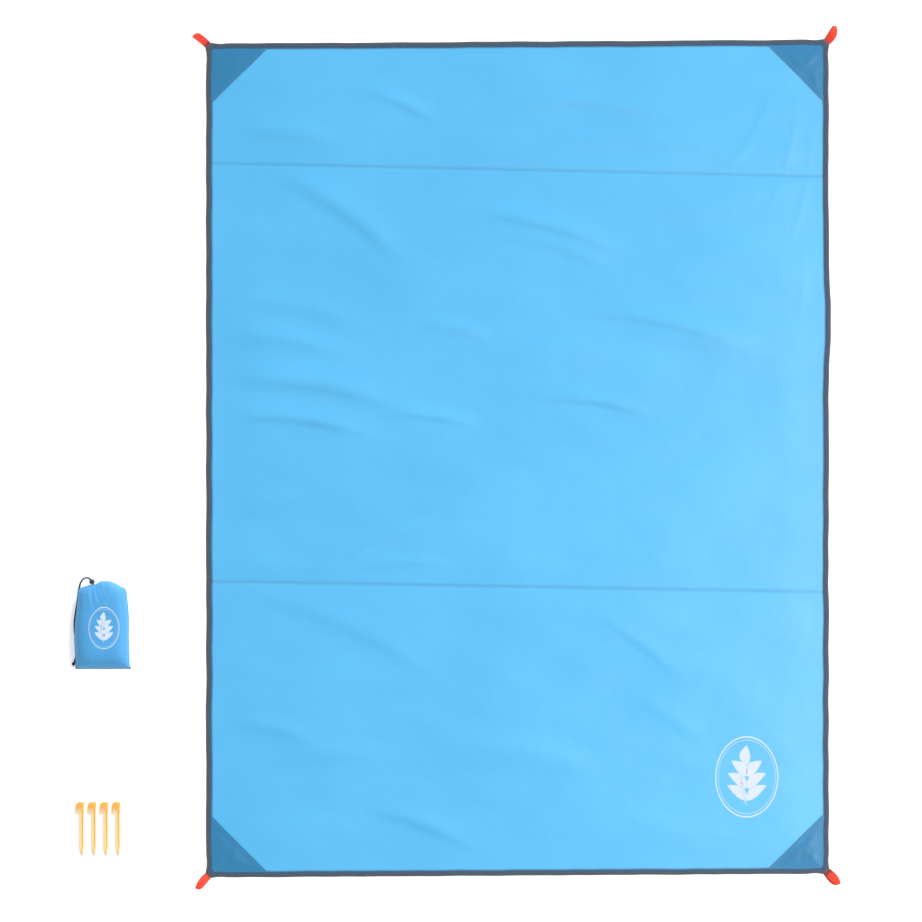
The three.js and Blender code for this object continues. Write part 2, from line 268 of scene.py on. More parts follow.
class Socket:
    """A node's output that takes part in Python arithmetic."""

    def __init__(self, graph: "Graph", link: bpy.types.NodeSocket) -> None:
        """Wraps an output of a node in a material."""
        self.graph = graph
        self.link = link

    def math(self, operation: str, *others: Feed) -> "Socket":
        """Adds a Math node fed by this socket first and then by the others."""
        return self.graph.node("ShaderNodeMath", {"operation": operation}, dict(enumerate((self, *others))))

    def _turned(self, operation: str, first: Feed) -> "Socket":
        """A Math node with this socket second."""
        return self.graph.node("ShaderNodeMath", {"operation": operation}, {0: first, 1: self})

    def __add__(self, other: Feed) -> "Socket":
        """The sum."""
        return self.math("ADD", other)

    __radd__ = __add__

    def __sub__(self, other: Feed) -> "Socket":
        """The difference."""
        return self.math("SUBTRACT", other)

    def __rsub__(self, other: Feed) -> "Socket":
        """The difference, the other way round."""
        return self._turned("SUBTRACT", other)

    def __mul__(self, other: Feed) -> "Socket":
        """The product."""
        return self.math("MULTIPLY", other)

    __rmul__ = __mul__

    def __truediv__(self, other: Feed) -> "Socket":
        """The quotient."""
        return self.math("DIVIDE", other)

    def __abs__(self) -> "Socket":
        """The size without its sign."""
        return self.math("ABSOLUTE")

    def sine(self) -> "Socket":
        """The sine."""
        return self.math("SINE")

    def least(self, other: Feed) -> "Socket":
        """The smaller of the two."""
        return self.math("MINIMUM", other)

    def most(self, other: Feed) -> "Socket":
        """The larger of the two."""
        return self.math("MAXIMUM", other)

    def rise(self, low: float, high: float) -> "Socket":
        """A smooth rise from 0 to 1 between two values."""
        values: Feeds = {"Value": self, "From Min": low, "From Max": high}
        return self.graph.node("ShaderNodeMapRange", {"interpolation_type": "SMOOTHSTEP"}, values)


class Graph:
    """The nodes of one material."""

    def __init__(self, name: str) -> None:
        """Starts a material with its Principled shader.

        Args:
            name: The material's name.
        """
        self.material = bpy.data.materials.new(name)
        self.material.use_nodes = True
        self.tree = self.material.node_tree
        self.shader = next(node for node in self.tree.nodes if node.type == "BSDF_PRINCIPLED")

    def feed(self, socket: bpy.types.NodeSocket, value: Feed) -> None:
        """Links or sets one input.

        Args:
            socket: The input.
            value: A socket to link, or the value to set.
        """
        if isinstance(value, Socket):
            self.tree.links.new(value.link, socket)
        elif isinstance(value, tuple) and len(value) == 3 and socket.type == "RGBA":
            socket.default_value = (*value, 1.0)
        else:
            socket.default_value = value

    def node(
        self,
        kind: str,
        settings: Optional[Dict[str, object]] = None,
        values: Optional[Feeds] = None,
        out: Union[int, str] = 0,
    ) -> Socket:
        """Adds a node of any type.

        Args:
            kind: The node's type.
            settings: The node's own settings, which are set first.
            values: What its inputs take.
            out: Which output is wanted.

        Returns:
            That output.
        """
        made = self.tree.nodes.new(kind)
        for key, value in (settings or {}).items():
            setattr(made, key, value)
        for name, value in (values or {}).items():
            self.feed(made.inputs[name], value)
        return Socket(self, made.outputs[out])

    def mix(self, factor: Feed, first: Feed, second: Feed) -> Socket:
        """Mixes two colours; the factor is the share of the second."""
        return self.node("ShaderNodeMix", {"data_type": "RGBA"}, {0: factor, 6: first, 7: second}, 2)

    def whole(self) -> Socket:
        """The Object coordinates."""
        return self.node("ShaderNodeTexCoord", out="Object")

    def place(self) -> Tuple[Socket, Socket, Socket]:
        """The three Object coordinates, one by one."""
        whole = self.whole()
        return tuple(self.node("ShaderNodeSeparateXYZ", None, {0: whole}, axis) for axis in "XYZ")

    def flat(self) -> Tuple[Socket, Socket]:
        """The two coordinates on the cut cloth."""
        whole = self.node("ShaderNodeUVMap", {"uv_map": "flat"})
        return tuple(self.node("ShaderNodeSeparateXYZ", None, {0: whole}, axis) for axis in "XY")

    def noise(self, vector: Feed, scale: float, detail: float = 2.0, roughness: float = 0.5) -> Socket:
        """Soft noise between about 0 and 1."""
        values: Feeds = {"Vector": vector, "Scale": scale, "Detail": detail, "Roughness": roughness}
        return self.node("ShaderNodeTexNoise", None, values)

    def bump(
        self, height: Socket, distance: float, strength: float = 1.0, under: Optional[Socket] = None
    ) -> Socket:
        """A Bump node.

        Args:
            height: The height, from 0 to 1.
            distance: What a height of 1 is in metres.
            strength: How much of it shows.
            under: Another bump that this one adds to.

        Returns:
            The bumped normal.
        """
        values: Feeds = {"Height": height, "Distance": distance, "Strength": strength}
        if under is not None:
            values["Normal"] = under
        return self.node("ShaderNodeBump", None, values)

    def finish(self, links: Dict[str, Feed]) -> bpy.types.Material:
        """Sets the shader's own sockets.

        Args:
            links: What each of the shader's inputs takes.

        Returns:
            The material.
        """
        for name, value in links.items():
            self.feed(self.shader.inputs[name], value)
        return self.material


# --- finishes


@dataclass(frozen=True)
class Finish:
    """What a piece is dressed in.

    Attributes:
        name: The material's name.
        slot: The record's slot, or nothing for the floor. Not used.
        colour: The main colour.
    """

    name: str
    slot: str
    colour: Colour

    def inputs(self, graph: Graph) -> Dict[str, Feed]:
        """What the shader's own sockets take, which each finish says for itself."""
        raise NotImplementedError(self.name)

    def material(self) -> bpy.types.Material:
        """Builds the material."""
        graph = Graph(self.name)
        return graph.finish(self.inputs(graph))


@dataclass(frozen=True)
class ClothFinish(Finish):
    """Thin coated plain-weave cloth, with painted shade along its crease lines and on a rim inside the
    binding where the flat map is the sheet's.

    Attributes:
        deep: The colour of its painted shade and of its darker mottles.
        roughness: How rough its sheen is.
        yarn: Width of a yarn.
        creases: Where the pressed creases lie along the flat map, darkened with painted shade.
        rim: Half width and half length inside the binding, where painted shade darkens the cloth.
        seam: How far painted shade darkens the cloth from the end where the flat map starts.
        gloss: Strength of its reflections.
    """

    deep: Colour
    roughness: float = 0.37
    yarn: float = 0.45 * MM
    creases: Tuple[float, ...] = ()
    rim: Optional[Point] = None
    seam: float = 0.0
    gloss: float = 0.9

    def inputs(self, graph: Graph) -> Dict[str, Feed]:
        """What the shader's own sockets take.

        Args:
            graph: The material's nodes.

        Returns:
            What each input takes.
        """
        across, along = graph.flat()
        whole = graph.whole()
        cloud = graph.noise(whole, 3.0, 3.0, 0.5).rise(0.3, 0.75)
        fleck = graph.noise(whole, 160.0, 2.0, 0.6)
        shade: Socket = (1.0 - cloud) * 0.06 + (fleck - 0.5) * 0.10
        # Painted shade: darker lines along the pressed creases.
        for crease in self.creases:
            shade = shade + (1.0 - abs(along - crease).rise(0.6 * MM, 7.0 * MM)) * (fleck * 0.10 + 0.16)
        # Painted shade: a darker band on the cloth just inside the binding.
        if self.rim:
            room = (self.rim[0] - abs(across)).least(self.rim[1] - abs(along))
            shade = shade + (1.0 - room.rise(0.2 * MM, 5.5 * MM)) * 0.75
        # Painted shade: a darker band along the bottom seam, from where the flat map starts.
        if self.seam:
            shade = shade + (1.0 - along.rise(0.4 * self.seam, self.seam)) * 0.9
        colour = graph.mix(shade.most(0.0).least(1.0), self.colour, self.deep)
        turn = math.pi / self.yarn
        weave = (across * turn).sine() * (along * turn).sine() * 0.5 + 0.5
        crinkle = graph.noise(whole, 34.0, 3.0, 0.6)
        low = graph.bump(crinkle, 0.5 * MM, 0.5)
        return {
            "Base Color": colour,
            "Roughness": (cloud * 0.06 + self.roughness),
            "Specular IOR Level": self.gloss,
            "Sheen Weight": 0.08,
            "Sheen Roughness": 0.4,
            "Normal": graph.bump(weave, 0.03 * MM, 0.6, low),
        }


@dataclass(frozen=True)
class TapeFinish(Finish):
    """Ribbed binding tape. Its flat map runs along the tape and inwards from its outer fold.

    Attributes:
        middle: The colour of its flat part.
        inner: The colour towards the sewn edge.
        rib: Distance between the ribs.
    """

    middle: Colour
    inner: Colour
    rib: float = 1.1 * MM

    def inputs(self, graph: Graph) -> Dict[str, Feed]:
        """What the shader's own sockets take.

        Args:
            graph: The material's nodes.

        Returns:
            What each input takes.
        """
        along, inwards = graph.flat()
        whole = graph.whole()
        patchy = graph.noise(whole, 24.0, 2.0, 0.6)
        side = (inwards + (patchy - 0.5) * (3.0 * MM)).rise(8.0 * MM, 9.8 * MM)
        worn = graph.mix(inwards.rise(1.0 * MM, 4.0 * MM), self.colour, self.middle)
        colour = graph.mix(side, worn, self.inner)
        rib = (along * (2.0 * math.pi / self.rib)).sine() * 0.5 + 0.5
        ribbed = graph.mix(rib * 0.15, colour, (0.015, 0.025, 0.04))
        low = graph.bump(graph.noise(whole, 90.0, 2.0), 0.5 * MM, 0.5)
        return {
            "Base Color": ribbed,
            "Roughness": patchy * 0.1 + 0.55,
            "Specular IOR Level": 0.45,
            "Sheen Weight": 0.15,
            "Normal": graph.bump(rib, 0.12 * MM, 0.7, low),
        }


@dataclass(frozen=True)
class WebbingFinish(Finish):
    """Flat woven webbing, with painted shade at its edges and at its base under the binding. Its flat map
    runs along the webbing and across from its middle.

    Attributes:
        deep: The colour between the yarns and inside the fold, and of the painted shade at its edges and
            base.
        seam: Sum of the plan coordinates where the webbing leaves the corner, from which the painted shade at
            its base fades out.
    """

    deep: Colour
    seam: float

    def inputs(self, graph: Graph) -> Dict[str, Feed]:
        """What the shader's own sockets take.

        Args:
            graph: The material's nodes.

        Returns:
            What each input takes.
        """
        along, across = graph.flat()
        x, y, _ = graph.place()
        # Painted shade: the loop's base is darker where it runs under the binding, fading out from 2 to 14 mm
        # beyond the corner.
        out = (abs(x) + abs(y) - self.seam) * 0.7071
        rows = (across * (2.0 * math.pi / (1.7 * MM))).sine()
        slant = ((along + abs(across) * 0.9) * (2.0 * math.pi / (1.5 * MM))).sine()
        weave = (rows * 0.5 + slant * 0.5) * 0.5 + 0.5
        # Painted shade along both edges of the webbing, where its two plies meet.
        edge_shade = abs(across).rise(8.6 * MM, 10.0 * MM)
        shade = (1.0 - weave) * 0.16 + edge_shade * 0.35 + (1.0 - out.rise(2.0 * MM, 14.0 * MM)) * 0.8
        return {
            "Base Color": graph.mix(shade.least(1.0), self.colour, self.deep),
            "Roughness": 0.72,
            "Specular IOR Level": 0.3,
            "Sheen Weight": 0.2,
            "Normal": graph.bump(weave, 0.25 * MM, 0.8),
        }


@dataclass(frozen=True)
class PlasticFinish(Finish):
    """Moulded plastic, a little duller and darker below a given height, where the darkening is painted shade;
    painted shade can also darken it towards the head.

    Attributes:
        deep: The colour of the painted shade in the recesses.
        recess: Height of the recess floor and of the rails beside it, between which the painted shade fades
            out.
        head_shade: The darker, more orange colour of the painted shade towards the head.
        head: Where along Y that colour starts and where it is full.
        roughness: How rough it is.
        glow: How much light passes into it.
    """

    deep: Colour
    recess: Optional[Point] = None
    head_shade: Optional[Colour] = None
    head: Point = (0.0, 1.0)
    roughness: float = 0.38
    glow: float = 0.0

    def inputs(self, graph: Graph) -> Dict[str, Feed]:
        """What the shader's own sockets take.

        Args:
            graph: The material's nodes.

        Returns:
            What each input takes.
        """
        whole = graph.whole()
        _, y, z = graph.place()
        flow = graph.noise(whole, 60.0, 2.0, 0.5)
        shade: Socket = (flow - 0.5) * 0.3
        # Painted shade: darker below the rails' height, in the grooves, on the sides and underneath.
        if self.recess:
            shade = shade + (1.0 - z.rise(*self.recess)) * 0.85
        tone = graph.mix(shade.most(0.0).least(1.0), self.colour, self.deep)
        # Painted shade: darker and more orange towards the head.
        if self.head_shade:
            tone = graph.mix(y.rise(*self.head), tone, self.head_shade)
        grain = graph.noise(whole, 1500.0, 2.0, 0.6)
        return {
            "Base Color": tone,
            "Roughness": flow * 0.12 + self.roughness,
            "Specular IOR Level": 0.5,
            "Subsurface Weight": self.glow,
            "Subsurface Radius": (0.004, 0.002, 0.001),
            "Normal": graph.bump(grain, 0.05 * MM, 0.35),
        }


@dataclass(frozen=True)
class CordFinish(Finish):
    """Braided cord or sewing thread. Its flat map runs along it and once round it.

    Attributes:
        deep: The colour between the yarns.
        pitch: Length of one diamond of the braid.
        strands: How many diamonds go round.
    """

    deep: Colour
    pitch: float = 2.2 * MM
    strands: int = 8

    def inputs(self, graph: Graph) -> Dict[str, Feed]:
        """What the shader's own sockets take.

        Args:
            graph: The material's nodes.

        Returns:
            What each input takes.
        """
        along, around = graph.flat()
        lay = along * (2.0 * math.pi / self.pitch)
        lap = around * (math.pi * self.strands)
        braid = (lay + lap).sine() * (lay - lap).sine() * 0.5 + 0.5
        return {
            "Base Color": graph.mix(braid, self.deep, self.colour),
            "Roughness": 0.7,
            "Specular IOR Level": 0.3,
            "Sheen Weight": 0.25,
            "Normal": graph.bump(braid, 0.25 * MM, 0.8),
        }


@dataclass(frozen=True)
class PrintFinish(Finish):
    """Screen-printed ink, slightly worn.

    Attributes:
        worn: The ink where cloth shows through.
    """

    worn: Colour

    def inputs(self, graph: Graph) -> Dict[str, Feed]:
        """What the shader's own sockets take.

        Args:
            graph: The material's nodes.

        Returns:
            What each input takes.
        """
        whole = graph.whole()
        thin = graph.noise(whole, 220.0, 3.0, 0.65).rise(0.55, 0.85)
        return {
            "Base Color": graph.mix(thin * 0.5, self.colour, self.worn),
            "Roughness": thin * 0.1 + 0.55,
            "Specular IOR Level": 0.3,
            "Normal": graph.bump(graph.noise(whole, 700.0, 1.0), 0.04 * MM, 0.5),
        }


@dataclass(frozen=True)
class WireFinish(Finish):
    """Bright drawn wire."""

    def inputs(self, graph: Graph) -> Dict[str, Feed]:
        """What the shader's own sockets take.

        Args:
            graph: The material's nodes.

        Returns:
            What each input takes.
        """
        whole = graph.whole()
        drawn = graph.noise(whole, 900.0, 2.0, 0.5)
        return {
            "Base Color": graph.mix(drawn * 0.3, self.colour, (0.2, 0.2, 0.2)),
            "Metallic": 1.0,
            "Roughness": drawn * 0.2 + 0.2,
            "Normal": graph.bump(drawn, 0.02 * MM, 0.4),
        }


@dataclass(frozen=True)
class FloorFinish(Finish):
    """Matt white studio floor.

    Attributes:
        glow: How much light it gives by itself.
    """

    glow: float = 0.32

    def inputs(self, graph: Graph) -> Dict[str, Feed]:
        """What the shader's own sockets take.

        Args:
            graph: The material's nodes.

        Returns:
            What each input takes.
        """
        return {
            "Base Color": self.colour,
            "Roughness": 0.9,
            "Specular IOR Level": 0.1,
            "Emission Color": (1.0, 1.0, 1.0),
            "Emission Strength": self.glow,
        }


def dress(piece: Piece, finish: Finish) -> None:
    """Gives a piece its material.

    Args:
        piece: The piece.
        finish: One of the finishes.
    """
    material = bpy.data.materials.get(finish.name) or finish.material()
    piece.data.materials.clear()
    piece.data.materials.append(material)


# --- plan and drape


class Corner(Enum):
    """The four corners, with their directions from the middle."""

    TOP_LEFT = (-1, 1)
    TOP_RIGHT = (1, 1)
    BOTTOM_LEFT = (-1, -1)
    BOTTOM_RIGHT = (1, -1)

    @property
    def label(self) -> str:
        """The corner's name in the CAD nodes."""
        return self.name.lower()

    @property
    def panel(self) -> str:
        """The body that the corner belongs to."""
        return "top_panel" if self.value[1] > 0 else "bottom_panel"


@dataclass(frozen=True)
class Plan:
    """The sheet's outline and folds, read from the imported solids.

    Attributes:
        half_width: Middle to the outside of the binding.
        half_length: Middle to the outside of the binding.
        far_fold: Where the far panel folds.
        near_fold: Where the near panel folds.
        ground: Height of the ground.
        tape: Visible width of the binding.
        corner_cut: Each leg of the blunt corners.
        split: Where the two drawn halves of the sheet meet.
        far_crease: Middle and slope of the drawn far crease.
        near_crease: Middle and slope of the drawn near crease.
    """

    half_width: float
    half_length: float
    far_fold: float
    near_fold: float
    ground: float
    tape: float = 13 * MM
    corner_cut: float = 14.142 * MM
    split: float = 192 * MM
    far_crease: Point = (0.7094, -0.0212)
    near_crease: Point = (-0.3154, -0.0173)

    @classmethod
    def from_cad(cls) -> "Plan":
        """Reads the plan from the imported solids.

        Returns:
            The plan.
        """
        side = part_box("binding_left_middle")
        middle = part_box("sheet_middle_panel")
        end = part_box("binding_top")
        gap = 0.15 * MM
        return cls(-side[0].x, end[1].y, middle[1].y + gap, middle[0].y - gap, side[0].z)

    def corner_point(self, corner: Corner, out: float = 0.0) -> Array:
        """A place on a corner's diagonal.

        Args:
            corner: Which corner.
            out: Distance outwards from the blunt edge.

        Returns:
            The plan coordinates.
        """
        x, y = corner.value
        inset = self.corner_cut / 2 - out / math.sqrt(2)
        return np.array([x * (self.half_width - inset), y * (self.half_length - inset)])


class Ripple:
    """Smooth seeded noise over the plan, longer in one direction."""

    def __init__(self, seed: int, cell: float, degrees: float = 0.0, stretch: float = 1.0) -> None:
        """Chooses the noise.

        Args:
            seed: Which noise.
            cell: Its cell size.
            degrees: Direction of its longer side.
            stretch: How much longer that side is.
        """
        angle = np.random.default_rng(seed).uniform(0, 2 * math.pi, (64, 64))
        self.slopes = np.stack([np.cos(angle), np.sin(angle)], -1)
        self.cell = cell
        self.axis = (math.cos(math.radians(degrees)), math.sin(math.radians(degrees)))
        self.stretch = stretch

    def at(self, x: Array, y: Array) -> Array:
        """The noise at some places.

        Args:
            x: Their X coordinates.
            y: Their Y coordinates.

        Returns:
            Values from about -1 to 1.
        """
        c, s = self.axis
        u = (x * c + y * s) / (self.cell * self.stretch) + 17.3
        v = (-x * s + y * c) / self.cell + 31.7
        i, j = np.floor(u).astype(int), np.floor(v).astype(int)
        fu, fv = u - i, v - j

        def pull(di: int, dj: int) -> Array:
            """The share of one corner of the cell."""
            slope = self.slopes[(i + di) % 64, (j + dj) % 64]
            return slope[..., 0] * (fu - di) + slope[..., 1] * (fv - dj)

        su = fu * fu * fu * (fu * (fu * 6 - 15) + 10)
        sv = fv * fv * fv * (fv * (fv * 6 - 15) + 10)
        near = pull(0, 0) * (1 - su) + pull(1, 0) * su
        far = pull(0, 1) * (1 - su) + pull(1, 1) * su
        return (near * (1 - sv) + far * sv) * 1.6


@dataclass(frozen=True)
class Fold:
    """One soft ridge in the cloth.

    Attributes:
        start: Where it starts, in millimetres.
        end: Where it ends, in millimetres.
        width: Its half width, in millimetres.
        height: Its height, in millimetres.
        lean: From -1 to 1, how much steeper its lower side is.
    """

    start: Point
    end: Point
    width: float
    height: float
    lean: float = 0.0

    def lift(self, x: Array, y: Array) -> Array:
        """Its height at some places.

        Args:
            x: Their X coordinates, in metres.
            y: Their Y coordinates, in metres.

        Returns:
            The height in metres.
        """
        ax, ay = self.end[0] - self.start[0], self.end[1] - self.start[1]
        length = math.hypot(ax, ay)
        px, py = x / MM - self.start[0], y / MM - self.start[1]
        along = (px * ax + py * ay) / length**2
        aside = (px * ay - py * ax) / length
        aside = aside + 0.05 * length * np.sin(np.clip(along, 0, 1) * math.pi)
        width = self.width * (1 - self.lean * np.tanh(aside / self.width))
        fade = smoothstep(along, -0.05, 0.4) * (1 - smoothstep(along, 0.6, 1.05))
        return self.height * MM * fade * np.exp(-((aside / width) ** 2))


class Drape:
    """How the laid-out sheet rises and shifts from its flat plan."""

    FOLDS = (
        Fold((-590, 705), (-270, 480), 26, 3.9, 0.3), Fold((-120, 610), (280, 500), 22, 3.9, 0.4),
        Fold((-90, 560), (250, 470), 26, 2.3, 0.3), Fold((130, 365), (600, 270), 24, 4.1, 0.4),
        Fold((200, 300), (700, 235), 28, 2.3, 0.3), Fold((-40, 262), (260, 250), 34, 2.7, -0.2),
        Fold((40, 150), (330, 112), 16, 3.4, 0.4), Fold((-770, 200), (-240, 120), 26, 4.4, 0.3),
        Fold((-750, 300), (-420, 262), 22, 3.1, 0.2), Fold((-740, 105), (-330, 52), 17, 3.4, 0.4),
        Fold((-250, 330), (-60, 300), 18, 2.6, 0.0), Fold((-330, 110), (-90, 78), 13, 2.9, 0.4),
        Fold((-730, 395), (-380, 330), 24, 2.3, 0.2), Fold((-420, -250), (-190, -150), 11, 2.2, 0.5),
        Fold((-400, -272), (-150, -262), 13, 1.8, 0.3), Fold((-700, -150), (-520, -90), 18, 1.5, 0.2),
        Fold((-680, -320), (-150, -560), 28, 2.0, 0.3), Fold((170, -370), (420, -560), 17, 1.1, 0.4),
        Fold((240, -560), (480, -720), 20, 0.9, 0.2), Fold((-390, -850), (-60, -985), 18, 2.0, 0.4),
        Fold((-740, -640), (-480, -700), 20, 2.2, 0.3), Fold((-700, -760), (-300, -730), 30, 1.8, 0.0),
        Fold((-100, -700), (250, -800), 34, 1.4, 0.0), Fold((-380, 905), (-180, 820), 15, 2.6, 0.3),
        Fold((-60, 868), (420, 835), 18, 2.5, 0.3), Fold((-700, 800), (-420, 778), 20, 2.3, 0.2),
        Fold((-500, 960), (100, 945), 18, 1.8, 0.0), Fold((0, 770), (560, 745), 20, 1.8, 0.2),
        Fold((722, 860), (668, 520), 7, 0.8, 0.4), Fold((746, 800), (712, 430), 6, 0.9, -0.3),
        Fold((690, 900), (612, 600), 9, 0.6, 0.3), Fold((744, 640), (722, 250), 7, 0.8, 0.3),
        Fold((700, 560), (676, 300), 8, 0.5, 0.0), Fold((733, 480), (740, 150), 7, 0.7, -0.2),
        Fold((640, 930), (500, 690), 12, 0.6, 0.2), Fold((728, -100), (720, -560), 8, 0.8, 0.3),
    )

    def __init__(self, plan: Plan) -> None:
        """Prepares the noise.

        Args:
            plan: The sheet's plan.
        """
        self.plan = plan
        self.billow = Ripple(4, 0.16, -8, 2.2)
        self.swell = Ripple(11, 0.07, -6, 2.2)
        self.crumple = Ripple(23, 0.024, -12, 1.6)
        self.wobble = Ripple(37, 0.075)

    def crease_line(self, crease: Point, x: Array) -> Array:
        """The Y coordinates of a drawn crease, given by its middle and slope."""
        return crease[0] + crease[1] * x

    def lift(self, x: Array, y: Array) -> Array:
        """Height of the cloth above where it would lie flat.

        Args:
            x: X coordinates of the flat plan.
            y: Y coordinates of the flat plan.

        Returns:
            The height in metres, never below zero.
        """
        height = 1.3 * MM * (1 + self.billow.at(x, y)) + 0.8 * MM * (1 + self.swell.at(x, y))
        height = height + 0.12 * MM * (1 + self.crumple.at(x, y))
        for fold in self.FOLDS:
            height = height + fold.lift(x, y)
        for crease in (self.plan.far_crease, self.plan.near_crease):
            off = np.abs(y - self.crease_line(crease, x))
            height = height * (1 - 0.75 * np.exp(-((off / 0.03) ** 2)))
            shoulder = 1.3 * MM * np.exp(-off / 0.02) * (1 - np.exp(-((off / 0.006) ** 2)))
            height = height + shoulder
        room = np.minimum(self.plan.half_width - np.abs(x), self.plan.half_length - np.abs(y))
        height = height * (0.12 + 0.88 * smoothstep(room, 0.004, 0.13))
        return np.maximum(height, 0.0)

    def shift(self, x: Array, y: Array) -> Tuple[Array, Array]:
        """How far the cloth lies from its flat plan, sideways.

        Args:
            x: X coordinates of the flat plan.
            y: Y coordinates of the flat plan.

        Returns:
            The shift along X and along Y.
        """
        plan = self.plan
        to_side = smoothstep(np.abs(x) / plan.half_width, 0.6, 1.0)
        to_end = smoothstep(np.abs(y) / plan.half_length, 0.72, 1.0)
        dx = 1.3 * MM * self.wobble.at(x * 0.2, y) * to_side
        dx = dx + 5.5 * MM * np.exp(-(((y - 0.34) / 0.1) ** 2)) * smoothstep(x / plan.half_width, 0.7, 1.0)
        dy = 0.9 * MM * self.wobble.at(x, y * 0.2 + 3.0) * to_end + 0.0061 * x * to_end
        for corner in Corner:
            cx, cy = corner.value
            away = np.hypot(x - cx * plan.half_width, y - cy * plan.half_length)
            pull = 5.0 * MM * np.exp(-((away / 0.015) ** 2))
            pull = pull - 1.8 * MM * np.exp(-(((away - 0.034) / 0.014) ** 2))
            dx = dx + cx * pull * 0.7
            dy = dy + cy * pull * 0.7
        return dx, dy

    def lay(self, x: Array, y: Array, z: Union[Array, float]) -> Array:
        """Lays points of the flat plan on the draped sheet.

        Args:
            x: X coordinates of the flat plan.
            y: Y coordinates of the flat plan.
            z: Heights above the sheet's underside.

        Returns:
            The points in the row frame.
        """
        x, y = np.asarray(x, float), np.asarray(y, float)
        dx, dy = self.shift(x, y)
        return np.stack([x + dx, y + dy, np.broadcast_to(z, x.shape) + self.lift(x, y)], -1)


# --- the sheet


class Half(Enum):
    """The two drawn halves of the sheet, each of which crosses one fold."""

    FAR = "top_panel"
    NEAR = "bottom_panel"


@dataclass
class Sheet:
    """The cloth itself, drawn as two halves that meet on a line inside the middle panel.

    Attributes:
        plan: The outline and folds.
        drape: How it lies.
        pitch: Size of the mesh's cells.
        thickness: Thickness of the cloth.
        top: Height of the cloth's upper face above the CAD underside.
        far_turn: Half length of the strip that bends at the far fold.
        near_turn: Half length of the strip that bends at the near fold.
    """

    plan: Plan
    drape: Drape
    pitch: float = 6.5 * MM
    thickness: float = 0.7 * MM
    top: float = 0.95 * MM
    far_turn: float = 12.6 * MM
    near_turn: float = 22 * MM
    pieces: Dict[Half, Piece] = field(default_factory=dict)

    def rows(self, low: float, high: float, crease: float) -> Array:
        """Rows of the mesh, closer together at the crease.

        Args:
            low: The first row.
            high: The last row.
            crease: Where the crease is.

        Returns:
            The rows.
        """
        even = np.linspace(low, high, round((high - low) / self.pitch) + 1)
        even = even[np.abs(even - crease) > 0.0095]
        close = crease + np.array([-8, -5.5, -3.6, -2.2, -1.1, 0, 1.1, 2.2, 3.6, 5.5, 8]) * MM
        return np.sort(np.concatenate([even, close]))

    def build(self, half: Half) -> Piece:
        """Builds one half.

        Args:
            half: Which half.

        Returns:
            The cloth.
        """
        plan = self.plan
        edge = 1.3 * MM
        wide = plan.half_width - edge
        long = plan.half_length - edge
        far = half is Half.FAR
        crease = plan.far_crease if far else plan.near_crease
        rows = self.rows(plan.split if far else -long, long if far else plan.split, crease[0])
        columns = np.linspace(-wide, wide, round(2 * wide / self.pitch) + 1)
        x, label = np.meshgrid(columns, rows)
        y = label + crease[1] * x * np.exp(-(((label - crease[0]) / 0.11) ** 2))
        over = np.maximum(0.0, np.abs(x) + np.abs(y) - (wide + long - plan.corner_cut + 0.5 * edge))
        x = x - np.sign(x) * over / 2
        y = y - np.sign(y) * over / 2
        points = self.drape.lay(x, y, self.top).reshape(-1, 3)
        flat = np.stack([x, label], -1).reshape(-1, 2)
        piece = new_piece(f"cloth_{half.name.lower()}", points, grid_faces(*x.shape), flat)
        Bench.modify(piece, "SOLIDIFY", thickness=self.thickness, offset=-1.0)
        Bench.smooth(piece, 50)
        self.pieces[half] = piece
        return piece

    def attach(self, half: Half, piece: Piece) -> None:
        """Puts a piece's place into its mesh; the span of the half's fold is worked out but not used.

        Args:
            half: Which half.
            piece: The piece.
        """
        if half is Half.FAR:
            start, end = self.plan.far_fold - self.far_turn, self.plan.far_fold + self.far_turn
        else:
            start, end = self.plan.near_fold + self.near_turn, self.plan.near_fold - self.near_turn
        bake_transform(piece)


# --- thread


